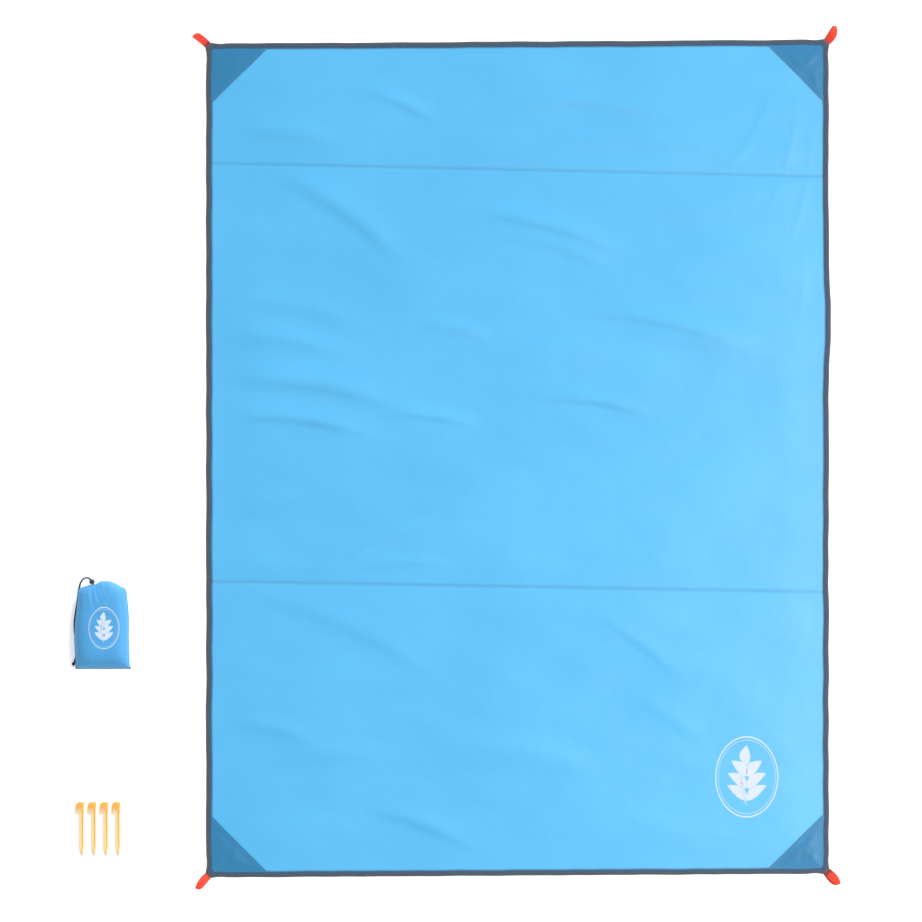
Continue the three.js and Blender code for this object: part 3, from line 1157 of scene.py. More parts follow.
@dataclass
class StitchRow:
    """A row of lockstitches.

    Attributes:
        pitch: From one stitch to the next.
        length: Length of a stitch.
        thread: Thickness of the thread.
    """

    pitch: float = 4.0 * MM
    length: float = 3.0 * MM
    thread: float = 0.7 * MM

    def shapes(self, centres: Array, ways: Array) -> Tuple[Array, Faces, Array]:
        """Points and faces of all the stitches.

        Args:
            centres: The middle of each stitch.
            ways: The direction of each stitch, in plan.

        Returns:
            The points, the faces and the flat map.
        """
        sides = 6
        angle = np.arange(sides) * 2 * math.pi / sides
        stops = np.array([-0.5, -0.36, 0.0, 0.36, 0.5])
        sizes = np.array([0.3, 0.9, 1.1, 0.9, 0.3])
        ways = ways / np.linalg.norm(ways, axis=1, keepdims=True)
        across = np.stack([-ways[:, 1], ways[:, 0], np.zeros(len(ways))], -1)
        radius = self.thread / 2
        points, flat = [], []
        for stop, size in zip(stops, sizes):
            for turn in angle:
                side = across * (math.cos(turn) * radius * size)
                lift = np.array([0, 0, math.sin(turn) * radius * size * 0.7 - (abs(stop) * 0.5 * MM)])
                points.append(centres + ways * (stop * self.length) + side + lift)
                flat.append(np.tile([stop * self.length, turn / (2 * math.pi)], (len(centres), 1)))
        points = np.stack(points, 1)
        flat = np.stack(flat, 1)
        one = grid_faces(len(stops), sides, closed=True)
        one.append(list(range(sides))[::-1])
        one.append([len(stops) * sides - sides + i for i in range(sides)])
        count = points.shape[1]
        faces = [[index + n * count for index in face] for n in range(len(centres)) for face in one]
        return points.reshape(-1, 3), faces, flat.reshape(-1, 2)

    def along(self, name: str, lines: Sequence[Array]) -> Piece:
        """Sews rows along some lines.

        Args:
            name: The piece's name.
            lines: For each row, points of the finished surface that it follows.

        Returns:
            All the rows as one piece.
        """
        centres, ways = [], []
        for line in lines:
            run = distances(line)
            places = np.arange(self.pitch / 2, run[-1] - self.length / 2, self.pitch)
            middle = np.stack([np.interp(places, run, line[:, k]) for k in range(3)], -1)
            ahead = np.stack([np.interp(places + self.length / 3, run, line[:, k]) for k in range(3)], -1)
            centres.append(middle)
            ways.append(ahead - middle)
        points, faces, flat = self.shapes(np.concatenate(centres), np.concatenate(ways))
        piece = new_piece(name, points, faces, flat)
        Bench.smooth(piece, 60)
        return piece


# --- binding


@dataclass(frozen=True)
class Run:
    """One length of binding.

    Attributes:
        name: Its name.
        keys: Corner points of its outer edge, in order, with the sheet on the left.
        half: The half of the sheet that a side length lies on, if it is a side length.
        body: The body that an end length rides on.
        nodes: The CAD nodes that it stands for.
    """

    name: str
    keys: Tuple[Point, ...]
    half: Optional[Half]
    body: str
    nodes: Tuple[str, ...]


@dataclass
class Binding:
    """Tape folded round the edge of the sheet and sewn near its inner edge.

    Attributes:
        sheet: The sheet that it binds.
        pitch: Length of the mesh's cells.
        sew: Distance of the stitches from the inner edge.
    """

    sheet: Sheet
    pitch: float = 6.0 * MM
    sew: float = 2.0 * MM

    # Inwards from the outer fold, and height above the CAD underside of the sheet.
    PROFILE = (
        (13.0, -0.75), (6.0, -0.9), (1.4, -0.85), (0.45, -0.6),
        (0.0, 0.0), (0.0, 1.1), (0.45, 1.85), (1.4, 2.15),
        (3.5, 2.3), (6.5, 2.3), (9.3, 2.15), (10.6, 1.95),
        (11.0, 1.88), (11.4, 1.95), (12.4, 2.1), (12.85, 2.0),
        (13.0, 1.7), (12.8, 1.2), (11.0, 1.12), (6.0, 1.2), (1.6, 1.25), (0.9, 0.9), (0.9, 0.1), (1.6, -0.2),
        (6.0, -0.25), (12.9, -0.2),
    )

    def runs(self) -> List[Run]:
        """The six drawn lengths.

        Returns:
            The runs, counter-clockwise.
        """
        plan = self.sheet.plan
        w, h, cut = plan.half_width, plan.half_length, plan.corner_cut
        middle = {corner: tuple(plan.corner_point(corner)) for corner in Corner}
        right_low, right_high = (w, -h + cut), (w, h - cut)
        left_low, left_high = (-w, -h + cut), (-w, h - cut)
        return [
            Run("tape_bottom",
                (middle[Corner.BOTTOM_LEFT], (-w + cut, -h), (w - cut, -h), middle[Corner.BOTTOM_RIGHT]),
                None, "bottom_panel", ("binding_bottom",)),
            Run("tape_right_near", (middle[Corner.BOTTOM_RIGHT], right_low, (w, plan.split)),
                Half.NEAR, "", ("binding_right_bottom", "binding_right_middle")),
            Run("tape_right_far", ((w, plan.split), right_high, middle[Corner.TOP_RIGHT]),
                Half.FAR, "", ("binding_right_top",)),
            Run("tape_top", (middle[Corner.TOP_RIGHT], (w - cut, h), (-w + cut, h), middle[Corner.TOP_LEFT]),
                None, "top_panel", ("binding_top",)),
            Run("tape_left_far", (middle[Corner.TOP_LEFT], left_high, (-w, plan.split)),
                Half.FAR, "", ("binding_left_top", "binding_left_middle")),
            Run("tape_left_near", ((-w, plan.split), left_low, middle[Corner.BOTTOM_LEFT]),
                Half.NEAR, "", ("binding_left_bottom",)),
        ]

    def stations(self, keys: Sequence[Point]) -> Tuple[Array, Array, Array]:
        """Places along a length, with the way inwards at each.

        Args:
            keys: The corner points of the outer edge.

        Returns:
            The places, the inward directions and the distances along.
        """
        points = [np.array(key) for key in keys]
        inward = []
        for a, b in zip(points[:-1], points[1:]):
            way = (b - a) / np.linalg.norm(b - a)
            inward.append(np.array([-way[1], way[0]]))
        places, ways = [points[0]], [inward[0]]
        for i, (a, b) in enumerate(zip(points[:-1], points[1:])):
            count = max(2, round(np.linalg.norm(b - a) / self.pitch))
            for k in range(1, count):
                places.append(a + (b - a) * k / count)
                ways.append(inward[i])
            last = i == len(inward) - 1
            both = inward[i] if last else inward[i] + inward[i + 1]
            mitre = both if last else both * 2 / np.dot(both, both)
            places.append(b)
            ways.append(mitre)
        places, ways = np.array(places), np.array(ways)
        return places, ways, distances(places)

    def build(self, run: Run) -> Piece:
        """Builds one length of tape.

        Args:
            run: Which length.

        Returns:
            The tape.
        """
        places, ways, along = self.stations(run.keys)
        profile = np.array(self.PROFILE) * MM
        inward = profile[:, 0]
        x = places[:, None, 0] + ways[:, None, 0] * inward[None, :]
        y = places[:, None, 1] + ways[:, None, 1] * inward[None, :]
        upper = (profile[:, 1] > 1.5 * MM)[None, :]
        pucker = 0.16 * MM * np.sin(along[:, None] / (4.0 * MM) * 2 * math.pi) * (inward[None, :] > 0.0095)
        puff = 0.35 * MM * self.sheet.drape.wobble.at(x * 5 + 3, y * 5)
        z = profile[None, :, 1] + np.where(upper, pucker + puff, 0.0)
        points = self.sheet.drape.lay(x, y, z)
        count = len(self.PROFILE)
        faces = [face[::-1] for face in grid_faces(len(places), count, closed=True)]
        faces.append(list(range(count)))
        faces.append([(len(places) - 1) * count + i for i in range(count)][::-1])
        flat = np.stack(np.broadcast_arrays(along[:, None], inward[None, :]), -1)
        piece = new_piece(run.name, points.reshape(-1, 3), faces, flat.reshape(-1, 2))
        Bench.close_up(piece)
        Bench.smooth(piece, 45)
        return piece

    def sew_line(self, run: Run) -> Array:
        """Where the stitches of one length run.

        Args:
            run: Which length.

        Returns:
            Points on the tape.
        """
        places, ways, _ = self.stations(run.keys)
        inward = self.sheet.plan.tape - self.sew
        x, y = places[:, 0] + ways[:, 0] * inward, places[:, 1] + ways[:, 1] * inward
        return self.sheet.drape.lay(x, y, 2.12 * MM)

    def attach(self, run: Run, piece: Piece) -> None:
        """Joins an end length's piece to the body that it rides on; a side length's piece only has its place
        put into its mesh.

        Args:
            run: Which length.
            piece: The piece.
        """
        if run.half:
            self.sheet.attach(run.half, piece)
        else:
            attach(piece, run.body)


# --- corner patches and loops


@dataclass
class CornerPatch:
    """A second, loosely lying layer of cloth across a corner, hemmed along its slanted edge.

    Attributes:
        sheet: The sheet under it.
        corner: Which corner.
        leg: From the outer corner along each edge.
        hem: Width of the hem.
        pitch: Size of the mesh's cells.
        thickness: Thickness of the cloth.
        seed: Which wrinkles it has.
    """

    sheet: Sheet
    corner: Corner
    leg: float = 163 * MM
    hem: float = 8 * MM
    pitch: float = 4 * MM
    thickness: float = 0.5 * MM
    seed: int = 0

    def place(self, a: Array, b: Array, above: Union[Array, float] = 0.0) -> Array:
        """Points of the patch on the sheet.

        Args:
            a: Distances inwards from the outer corner along X.
            b: Distances inwards from the outer corner along Y.
            above: Extra height.

        Returns:
            The points in the row frame.
        """
        plan = self.sheet.plan
        x, y = self.corner.value
        height = self.height(a, b) + above
        return self.sheet.drape.lay(x * (plan.half_width - a), y * (plan.half_length - b), height)

    def height(self, a: Array, b: Array) -> Array:
        """Height of the patch above the sheet's underside.

        Args:
            a: Distances inwards from the outer corner along X.
            b: Distances inwards from the outer corner along Y.

        Returns:
            The height.
        """
        plan = self.sheet.plan
        slant = (self.leg - a - b) / math.sqrt(2)
        room = np.minimum(np.minimum(a, b) - plan.tape, slant)
        loose = smoothstep(room, 0.0, 0.035)
        way = 45 * self.corner.value[0] * self.corner.value[1]
        noise = Ripple(60 + self.seed, 0.03, way, 2.4)
        fine = Ripple(80 + self.seed, 0.012, way, 1.8)
        bag = loose * (1.5 * MM + 1.6 * MM * noise.at(a, b) + 0.45 * MM * fine.at(a, b))
        hem = 0.45 * MM * (1 - smoothstep(slant, self.hem, self.hem + 1.2 * MM))
        return self.sheet.top + 0.6 * MM + np.maximum(bag, 0.0) + hem

    def build(self) -> Piece:
        """Builds the patch.

        Returns:
            The patch.
        """
        inset = self.sheet.plan.tape - 0.2 * MM
        run = self.leg - 2 * inset
        count = round(run / self.pitch)
        place = {}
        a, b = [], []
        for i in range(count + 1):
            for j in range(count + 1 - i):
                place[i, j] = len(a)
                a.append(inset + run * i / count)
                b.append(inset + run * j / count)
        a, b = np.array(a), np.array(b)
        faces = []
        for i in range(count):
            for j in range(count - i):
                if i + j < count - 1:
                    faces.append([place[i, j], place[i + 1, j], place[i + 1, j + 1], place[i, j + 1]])
                else:
                    faces.append([place[i, j], place[i + 1, j], place[i, j + 1]])
        x, y = self.corner.value
        if x * y < 0:
            faces = [face[::-1] for face in faces]
        piece = new_piece(f"patch_{self.corner.label}", self.place(a, b), faces, np.stack([a, b], -1))
        Bench.modify(piece, "SOLIDIFY", thickness=self.thickness, offset=-1.0)
        Bench.smooth(piece, 50)
        return piece

    def stitches(self) -> Piece:
        """Sews the two rows along the hem.

        Returns:
            The stitches.
        """
        lines = []
        for back in (2.0 * MM, 6.5 * MM):
            total = self.leg - back * math.sqrt(2)
            inset = self.sheet.plan.tape + 1.0 * MM
            a = np.linspace(inset, total - inset, 60)
            lines.append(self.place(a, total - a, 0.12 * MM))
        return StitchRow().along(f"patch_stitches_{self.corner.label}", lines)


@dataclass
class CornerLoop:
    """Webbing folded double and sewn in at a corner, lying a little twisted.

    Attributes:
        sheet: The sheet that it is sewn to.
        corner: Which corner.
        reach: How far it reaches out.
        width: Width of the webbing.
        bend: Sideways bend at its tip.
        roll: Turn of its flat about its length, in degrees, at the tip.
        slip: Sideways slip of the upper ply over the lower one.
        squeeze: How much narrower it looks at the tip.
        swell: How much wider it looks half way.
        slant: How much further one edge reaches than the middle.
        taper: How much less both edges reach than the middle.
    """

    sheet: Sheet
    corner: Corner
    reach: float = 43 * MM
    width: float = 20 * MM
    bend: float = 0.0
    roll: float = 0.0
    slip: float = 0.0
    squeeze: float = 0.0
    swell: float = 0.0
    slant: float = 0.0
    taper: float = 0.0

    # Outwards from the corner's blunt edge, and height; out over the ground, round the tip and back.
    SIDE_VIEW = (
        (-3.0, 0.35), (0.0, 0.2), (4.0, -0.1), (12.0, -0.25),
        (24.0, -0.25), (34.0, -0.1), (39.5, 0.9), (41.9, 3.6),
        (40.6, 6.6), (35.5, 8.3), (28.0, 8.6), (20.0, 7.6), (13.0, 5.2), (8.0, 3.1), (4.0, 1.8), (0.0, 1.05),
        (-3.0, 0.85),
    )

    def build(self) -> Piece:
        """Builds the loop.

        Returns:
            The loop.
        """
        line = Route(np.array([(u, 0.0, z) for u, z in self.SIDE_VIEW]) * MM).points(4)
        run = distances(line)
        share = run / run[-1]
        out = np.clip(line[:, 0] / self.reach, 0, 1)
        upper = smoothstep(share, 0.44, 0.56)
        side = self.bend * out**2 + self.slip * (upper - 0.5) * np.sin(math.pi * np.clip(out, 0, 1) * 0.9)
        roll = math.radians(self.roll) * out
        half = self.width / 2 * (1 + self.swell * np.sin(math.pi * out) - self.squeeze * out**2)
        across = np.linspace(-1, 1, 11)
        skew = self.slant * across[None, :] - self.taper * across[None, :] ** 2
        u = line[:, None, 0] + skew * out[:, None] ** 3
        v = side[:, None] + across[None, :] * (half * np.cos(roll))[:, None]
        crown = 0.35 * MM * (1 - across[None, :] ** 2) * (upper[:, None] * 2 - 1) * out[:, None]
        z = line[:, None, 2] + across[None, :] * (half * np.sin(roll))[:, None] + crown
        low = self.sheet.plan.ground + 0.65 * MM
        z = np.maximum(z, low + 0.15 * MM * upper[:, None])
        x, y = self.corner.value
        base = self.sheet.plan.corner_point(self.corner)
        dx, dy = self.sheet.drape.shift(base[0], base[1])
        outward = np.array([x, y]) / math.sqrt(2)
        sideways = np.array([-outward[1], outward[0]])
        px = base[0] + dx + outward[0] * u + sideways[0] * v
        py = base[1] + dy + outward[1] * u + sideways[1] * v
        points = np.stack([px, py, z], -1)
        flat = np.stack(np.broadcast_arrays(run[:, None], across[None, :] * self.width / 2), -1)
        name = f"loop_{self.corner.label}"
        piece = new_piece(name, points.reshape(-1, 3), grid_faces(*px.shape), flat.reshape(-1, 2))
        Bench.modify(piece, "SOLIDIFY", thickness=1.0 * MM, offset=0.0)
        Bench.modify(piece, "BEVEL", width=0.25 * MM, segments=2, limit_method="ANGLE")
        Bench.smooth(piece, 50)
        return piece

    def attach(self, piece: Piece) -> None:
        """Puts the loop's place into its mesh; the span from its seam outwards is worked out but not used.

        Args:
            piece: The loop.
        """
        start, end = (self.sheet.plan.corner_point(self.corner, out) for out in (-0.5 * MM, 6.0 * MM))
        self.corner.panel
        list(start)
        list(end)
        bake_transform(piece)

    def bartack(self) -> Piece:
        """Sews the dense rows that hold the loop in the binding.

        Returns:
            The stitches.
        """
        x, y = self.corner.value
        outward = np.array([x, y]) / math.sqrt(2)
        sideways = np.array([-outward[1], outward[0]])
        base = self.sheet.plan.corner_point(self.corner)
        lines = []
        for back in (2.6 * MM, 4.0 * MM, 5.4 * MM):
            v = np.linspace(-7.5, 7.5, 16) * MM
            px = base[0] - outward[0] * back + sideways[0] * v
            py = base[1] - outward[1] * back + sideways[1] * v
            lines.append(self.sheet.drape.lay(px, py, 2.3 * MM))
        return StitchRow(pitch=1.5 * MM, length=1.4 * MM).along(f"bartack_{self.corner.label}", lines)


# --- routes and tubes


class Route:
    """A smooth curve through given points, as the CAD's cord follows it."""

    def __init__(self, keys: Array) -> None:
        """Keeps the points that it passes through."""
        self.keys = np.asarray(keys, float)

    def points(self, steps: int) -> Array:
        """Points along the curve.

        Args:
            steps: How many pieces each span is cut into.

        Returns:
            The points.
        """
        keys = self.keys
        ends = np.vstack([2 * keys[0] - keys[1], keys, 2 * keys[-1] - keys[-2]])
        found = []
        for i in range(len(keys) - 1):
            p0, p1, p2, p3 = ends[i : i + 4]
            gaps = [max(np.linalg.norm(b - a) ** 0.5, 1e-6) for a, b in ((p0, p1), (p1, p2), (p2, p3))]
            d0, d1, d2 = gaps
            m1 = ((p1 - p0) / d0 - (p2 - p0) / (d0 + d1) + (p2 - p1) / d1) * d1
            m2 = ((p2 - p1) / d1 - (p3 - p1) / (d1 + d2) + (p3 - p2) / d2) * d1
            for k in range(steps):
                t = k / steps
                found.append(
                    p1 + m1 * t + (-3 * p1 + 3 * p2 - 2 * m1 - m2) * t**2 + (2 * p1 - 2 * p2 + m1 + m2) * t**3
                )
        found.append(keys[-1])
        return np.array(found)


def tube(name: str, line: Array, radius: Union[float, Array], sides: int, braid: float = 0.0) -> Piece:
    """A round tube along a line, closed at both ends.

    Args:
        name: The piece's name.
        line: The points that it follows.
        radius: Its radius, or its radius at each point.
        sides: How many sides it has.
        braid: Depth of the braid's pattern as a share of the radius.

    Returns:
        The tube, with a flat map that runs along it and round it.
    """
    ahead = np.gradient(line, axis=0)
    ahead = ahead / np.linalg.norm(ahead, axis=1, keepdims=True)
    run = distances(line)
    side = np.zeros_like(line)
    side[0] = np.cross(ahead[0], [0, 0, 1.0]) if abs(ahead[0][2]) < 0.9 else np.cross(ahead[0], [1.0, 0, 0])
    side[0] /= np.linalg.norm(side[0])
    for i in range(1, len(line)):
        step = side[i - 1] - np.dot(side[i - 1], ahead[i]) * ahead[i]
        side[i] = step / np.linalg.norm(step)
    up = np.cross(side, ahead)
    turn = np.arange(sides) * 2 * math.pi / sides
    size = np.broadcast_to(radius, (len(line),))[:, None]
    lay, lap = run[:, None] * 2 * math.pi / (2.2 * MM), turn[None, :] * 4
    size = size * (1 - braid * (0.5 - 0.5 * np.sin(lay + lap) * np.sin(lay - lap)))
    ring = side[:, None] * np.cos(turn)[None, :, None] + up[:, None] * np.sin(turn)[None, :, None]
    points = line[:, None] + ring * size[..., None]
    faces = grid_faces(len(line), sides, closed=True)
    faces.append(list(range(sides))[::-1])
    faces.append([(len(line) - 1) * sides + i for i in range(sides)])
    flat = np.stack(np.broadcast_arrays(run[:, None], turn[None, :] / (2 * math.pi)), -1)
    piece = new_piece(name, points.reshape(-1, 3), faces, flat.reshape(-1, 2))
    Bench.close_up(piece)
    Bench.smooth(piece, 50)
    return piece


# --- the pouch


@dataclass
class Pouch:
    """Drawstring pouch: two panels sewn at the sides and the bottom, gathered at the mouth.

    Attributes:
        x: Its middle.
        bottom: Its bottom seam.
        ground: Height of the ground.
        length: Bottom seam to shoulders.
        top_width: Width at the shoulders.
        middle_width: Width lower down.
        seam_height: Height of the side seams above the ground.
        crown: Height of the front panel above the seams.
        neck_rise: Height of the gathered top above the shoulders.
        mouth_offset: Where the mouth is, from the middle.
        mouth_width: How wide the mouth is.
        mouth_gape: Half height of the mouth.
        fin: Width of the flat seam allowance.
    """

    x: float
    bottom: float
    ground: float
    length: float = 199 * MM
    top_width: float = 120 * MM
    middle_width: float = 133 * MM
    seam_height: float = 20 * MM
    crown: float = 27 * MM
    neck_rise: float = 16.5 * MM
    mouth_offset: float = -18 * MM
    mouth_width: float = 56 * MM
    mouth_gape: float = 6 * MM
    fin: float = 2.2 * MM

    @classmethod
    def from_cad(cls, plan: Plan) -> "Pouch":
        """Reads the pouch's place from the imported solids."""
        low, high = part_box("pouch_front_panel")
        return cls((low.x + high.x) / 2, low.y, plan.ground)

    def rise(self, offset: Array) -> Array:
        """Height of the top edge above the shoulders.

        Args:
            offset: Distances from the middle.

        Returns:
            The heights along Y.
        """
        shoulder = self.top_width / 2
        mouth = 0.5 * smoothstep(offset, -shoulder, -shoulder / 3)
        hump = 0.5 * smoothstep(offset, self.mouth_offset, self.mouth_offset + 18 * MM)
        return self.neck_rise * (mouth + hump - smoothstep(offset, shoulder * 0.25, shoulder))

    def width_at(self, along: Array) -> Array:
        """Width between the side seams, at shares of the length."""
        narrow = smoothstep(along, 0.5, 1.0)
        return self.middle_width * (1 - narrow) + self.top_width * narrow

    def surface(self, across: Array, along: Array, side: int) -> Array:
        """Points of one panel.

        Args:
            across: From -1 to 1 between the side seams.
            along: From 0 at the bottom seam to 1 at the top edge.
            side: 1 for the front panel, -1 for the back panel.

        Returns:
            The points in the row frame.
        """
        across, along = np.broadcast_arrays(np.asarray(across, float), np.asarray(along, float))
        width = self.width_at(along)
        offset = across * width / 2
        inner = np.clip(np.abs(across) / (1 - 2 * self.fin / width), 0, 1)
        start = self.fin / self.length
        ends = np.clip((along - start) / (1 - start), 0, 1)
        top, flank = np.where(ends > 0.5, 9.0, 5.0), np.where(across > 0, 6.5, 4.0)
        fullness = np.sqrt(1 - np.abs(2 * ends - 1) ** top) * np.sqrt(1 - inner**flank)
        away = np.minimum(1, np.abs(offset - self.mouth_offset) / (self.mouth_width / 2))
        gape = self.mouth_gape * (1 - away**2) * smoothstep(along, 0.72, 1.0)
        crown = self.crown if side > 0 else self.seam_height - 1.3 * MM
        bulge = np.maximum(crown * fullness, gape)
        if side < 0:
            bulge = np.minimum(bulge * 1.25, crown)
        edge = fullness ** 0.5
        bulge = bulge + self.wrinkles(offset, along, inner, side) * edge
        y = along * (self.length + self.rise(offset) * smoothstep(along, 0.7, 1.0))
        z = self.ground + self.seam_height + side * (0.35 * MM + bulge)
        sway = 0.9 * MM * np.sin(along * 9.0 + 1.0) * np.abs(across) ** 3
        poke = np.exp(-((along * self.length / (7 * MM)) ** 2)) * smoothstep(across, 0.55, 1.0)
        sway = sway + 4.5 * MM * poke - 1.2 * MM * smoothstep(-across, 0.6, 1.0) * np.sin(along * math.pi)
        round_off = smoothstep(np.abs(across), 0.75, 1.0) * smoothstep(along, 0.93, 1.0) ** 2
        sway = sway - 4.0 * MM * np.sign(across) * round_off
        return np.stack([self.x + offset + sway, self.bottom + y, np.maximum(z, self.ground + 0.35 * MM)], -1)

    def wrinkles(self, offset: Array, along: Array, inner: Array, side: int) -> Array:
        """Height of the wrinkles above the smooth shape.

        Args:
            offset: Distances from the middle.
            along: From 0 at the bottom seam to 1 at the top edge.
            inner: From 0 at the middle to 1 at the side seams.
            side: 1 for the front panel, -1 for the back panel.

        Returns:
            The heights.
        """
        neck = smoothstep(along, 0.62, 0.97)
        spread = (offset - self.mouth_offset * neck) / MM
        gathers = np.sin(spread / (1.7 + 2.2 * (1 - neck)) + 2.4 * side) + 0.6 * np.sin(spread / 2.9 + 1.0)
        close = np.exp(-((np.abs(offset - self.mouth_offset) / (30 * MM)) ** 2))
        height = 0.5 * MM * gathers * neck * (0.15 + close) * (1 - 0.5 * smoothstep(along, 0.97, 1.0))
        billow = Ripple(91 + side, 0.045, 70, 2.2)
        dents = Ripple(95 + side, 0.02, 55, 2.0)
        height = height + 1.5 * MM * billow.at(offset, along * self.length)
        height = height + 0.4 * MM * dents.at(offset, along * self.length)
        lee = np.exp(-(((along - 0.93) / 0.035) ** 2)) * np.exp(-((offset / (44 * MM)) ** 2))
        height = height - side * 1.4 * MM * lee
        seam = smoothstep(inner, 0.72, 0.97)
        pucker = np.sin(along * self.length / MM / 2.1 + 0.8 * np.sin(along * 23))
        return height + 0.25 * MM * seam * pucker

    def build(self) -> Piece:
        """Builds the sewn shell.

        Returns:
            The shell.
        """
        columns, rows = 64, 84
        across = np.sin(np.linspace(-1, 1, columns + 1) * math.pi / 2 * 0.86) / math.sin(math.pi / 2 * 0.86)
        along = np.linspace(0, 1, rows + 1) ** 0.95
        a, v = np.meshgrid(across, along)
        front, back = self.surface(a, v, 1), self.surface(a, v, -1)
        ring = np.concatenate([front, back[:, -1:0:-1]], 1)
        ring[:, 0] = (front[:, 0] + back[:, 0]) / 2
        ring[:, columns] = (front[:, -1] + back[:, -1]) / 2
        flat_a = np.concatenate([a, 2 - a[:, -1:0:-1]], 1) * self.middle_width / 2
        flat_v = np.concatenate([v, v[:, -1:0:-1]], 1) * self.length
        lip = np.where(np.arange(ring.shape[1]) > columns, -0.35, 0.35) * MM
        ring[0, :, 2] = self.ground + self.seam_height + lip
        count = ring.shape[1]
        faces = grid_faces(rows + 1, count, closed=True)
        for i in range(1, columns):
            faces.append([i, i - 1 if i > 1 else 0, (count - i + 1) % count, count - i])
        flat = np.stack([flat_a, flat_v], -1).reshape(-1, 2)
        piece = new_piece("pouch_shell", ring.reshape(-1, 3), faces, flat)
        Bench.close_up(piece, 0.05 * MM)
        Bench.modify(piece, "SOLIDIFY", thickness=0.6 * MM, offset=-1.0)
        Bench.smooth(piece, 55)
        return piece

    def front_point(self, x: Array, y: Array, above: float) -> Array:
        """Points on the front panel, given in plan.

        Args:
            x: Distances from the pouch's middle.
            y: Distances from the bottom seam.
            above: Distance above the cloth.

        Returns:
            The points in the row frame.
        """
        along = y / self.length
        width = self.width_at(along)
        point = self.surface(2 * x / width, along, 1)
        point[..., 2] += above
        return point

    def stitches(self) -> Piece:
        """Sews the row under the cord's channel and a row along the bottom hem, both on the front panel.

        Returns:
            The stitches.
        """
        across = np.linspace(-0.93, 0.93, 160)
        front = self.surface(across, np.full(160, 0.9), 1) + np.array([0, 0, 0.15 * MM])
        hem = self.surface(across, np.full(160, 0.035), 1) + np.array([0, 0, 0.15 * MM])
        row = StitchRow(pitch=3.2 * MM, length=2.4 * MM, thread=0.5 * MM)
        return row.along("pouch_stitches", [front, hem])


# --- printed mark


@dataclass
class PrintedMark:
    """A plain sprig of leaves in an oval ring, printed on cloth.

    Attributes:
        name: The piece's name.
        width: Width of the oval.
        height: Height of the oval.
        lay: Puts plan points, measured from the mark's middle, on the cloth.
        cloth: The piece that it is printed on.
    """

    name: str
    width: float
    height: float
    lay: Callable[[Array, Array], Array]
    cloth: Piece

    def ring(self, inner: float, outer: float) -> Tuple[Array, Array, Faces]:
        """An oval band.

        Args:
            inner: Its inner edge as a share of the size.
            outer: Its outer edge as a share of the size.

        Returns:
            The X and Y coordinates and the faces.
        """
        turns = 120
        angle = np.arange(turns) * 2 * math.pi / turns
        share = np.linspace(inner, outer, 3)[:, None]
        x = share * self.width / 2 * np.cos(angle)[None, :]
        y = share * self.height / 2 * np.sin(angle)[None, :]
        return x, y, grid_faces(3, turns, closed=True)

    def leaf(self, root: Point, tip: Point, half: float) -> Tuple[Array, Array, Faces]:
        """One pointed leaf.

        Args:
            root: Where it starts, as shares of the half width and half height.
            tip: Where it ends, in the same shares.
            half: Its half width, as a share of the half width.

        Returns:
            The X and Y coordinates and the faces.
        """
        scale = np.array([self.width / 2, self.height / 2])
        a, b = np.array(root) * scale, np.array(tip) * scale
        way = (b - a) / np.linalg.norm(b - a)
        side = np.array([-way[1], way[0]])
        t = np.linspace(0.0, 1.0, 25)[:, None]
        width = (half * self.width / 2) * np.sin(math.pi * t**0.85) ** 0.9
        across = np.linspace(-1, 1, 9)[None, :]
        curve = 0.10 * np.linalg.norm(b - a) * np.sin(math.pi * t) * (1 if tip[0] >= root[0] else -1)
        x = a[0] + (b - a)[0] * t + side[0] * (across * width + curve)
        y = a[1] + (b - a)[1] * t + side[1] * (across * width + curve)
        return x, y, grid_faces(25, 9)

    def build(self) -> Piece:
        """Builds the print as a thin film.

        Returns:
            The film.
        """
        shapes = [self.ring(0.965, 1.0), self.ring(0.90, 0.912)]
        shapes.append(self.leaf((0.0, -0.72), (0.0, 0.55), 0.035))
        for level, size in ((-0.42, 0.62), (-0.12, 0.60), (0.18, 0.48)):
            for side in (-1, 1):
                shapes.append(self.leaf((0.0, level - 0.16), (side * size, level + 0.22), 0.17))
        shapes.append(self.leaf((0.0, 0.30), (0.0, 0.78), 0.17))
        points, faces, start = [], [], 0
        for x, y, quads in shapes:
            points.append(self.lay(x, y).reshape(-1, 3))
            faces.extend([[start + index for index in quad] for quad in quads])
            start += x.size
        cloud = np.concatenate(points)
        piece = new_piece(self.name, cloud, faces, cloud[:, :2])
        Bench.close_up(piece, 0.01 * MM)
        if sum(polygon.normal.z for polygon in piece.data.polygons) < 0:
            piece.data.flip_normals()
        Bench.modify(piece, "SHRINKWRAP", target=self.cloth, wrap_mode="ABOVE_SURFACE", offset=0.07 * MM)
        Bench.modify(piece, "SOLIDIFY", thickness=0.05 * MM, offset=1.0)
        Bench.smooth(piece, 50)
        return piece


# --- cord and lock


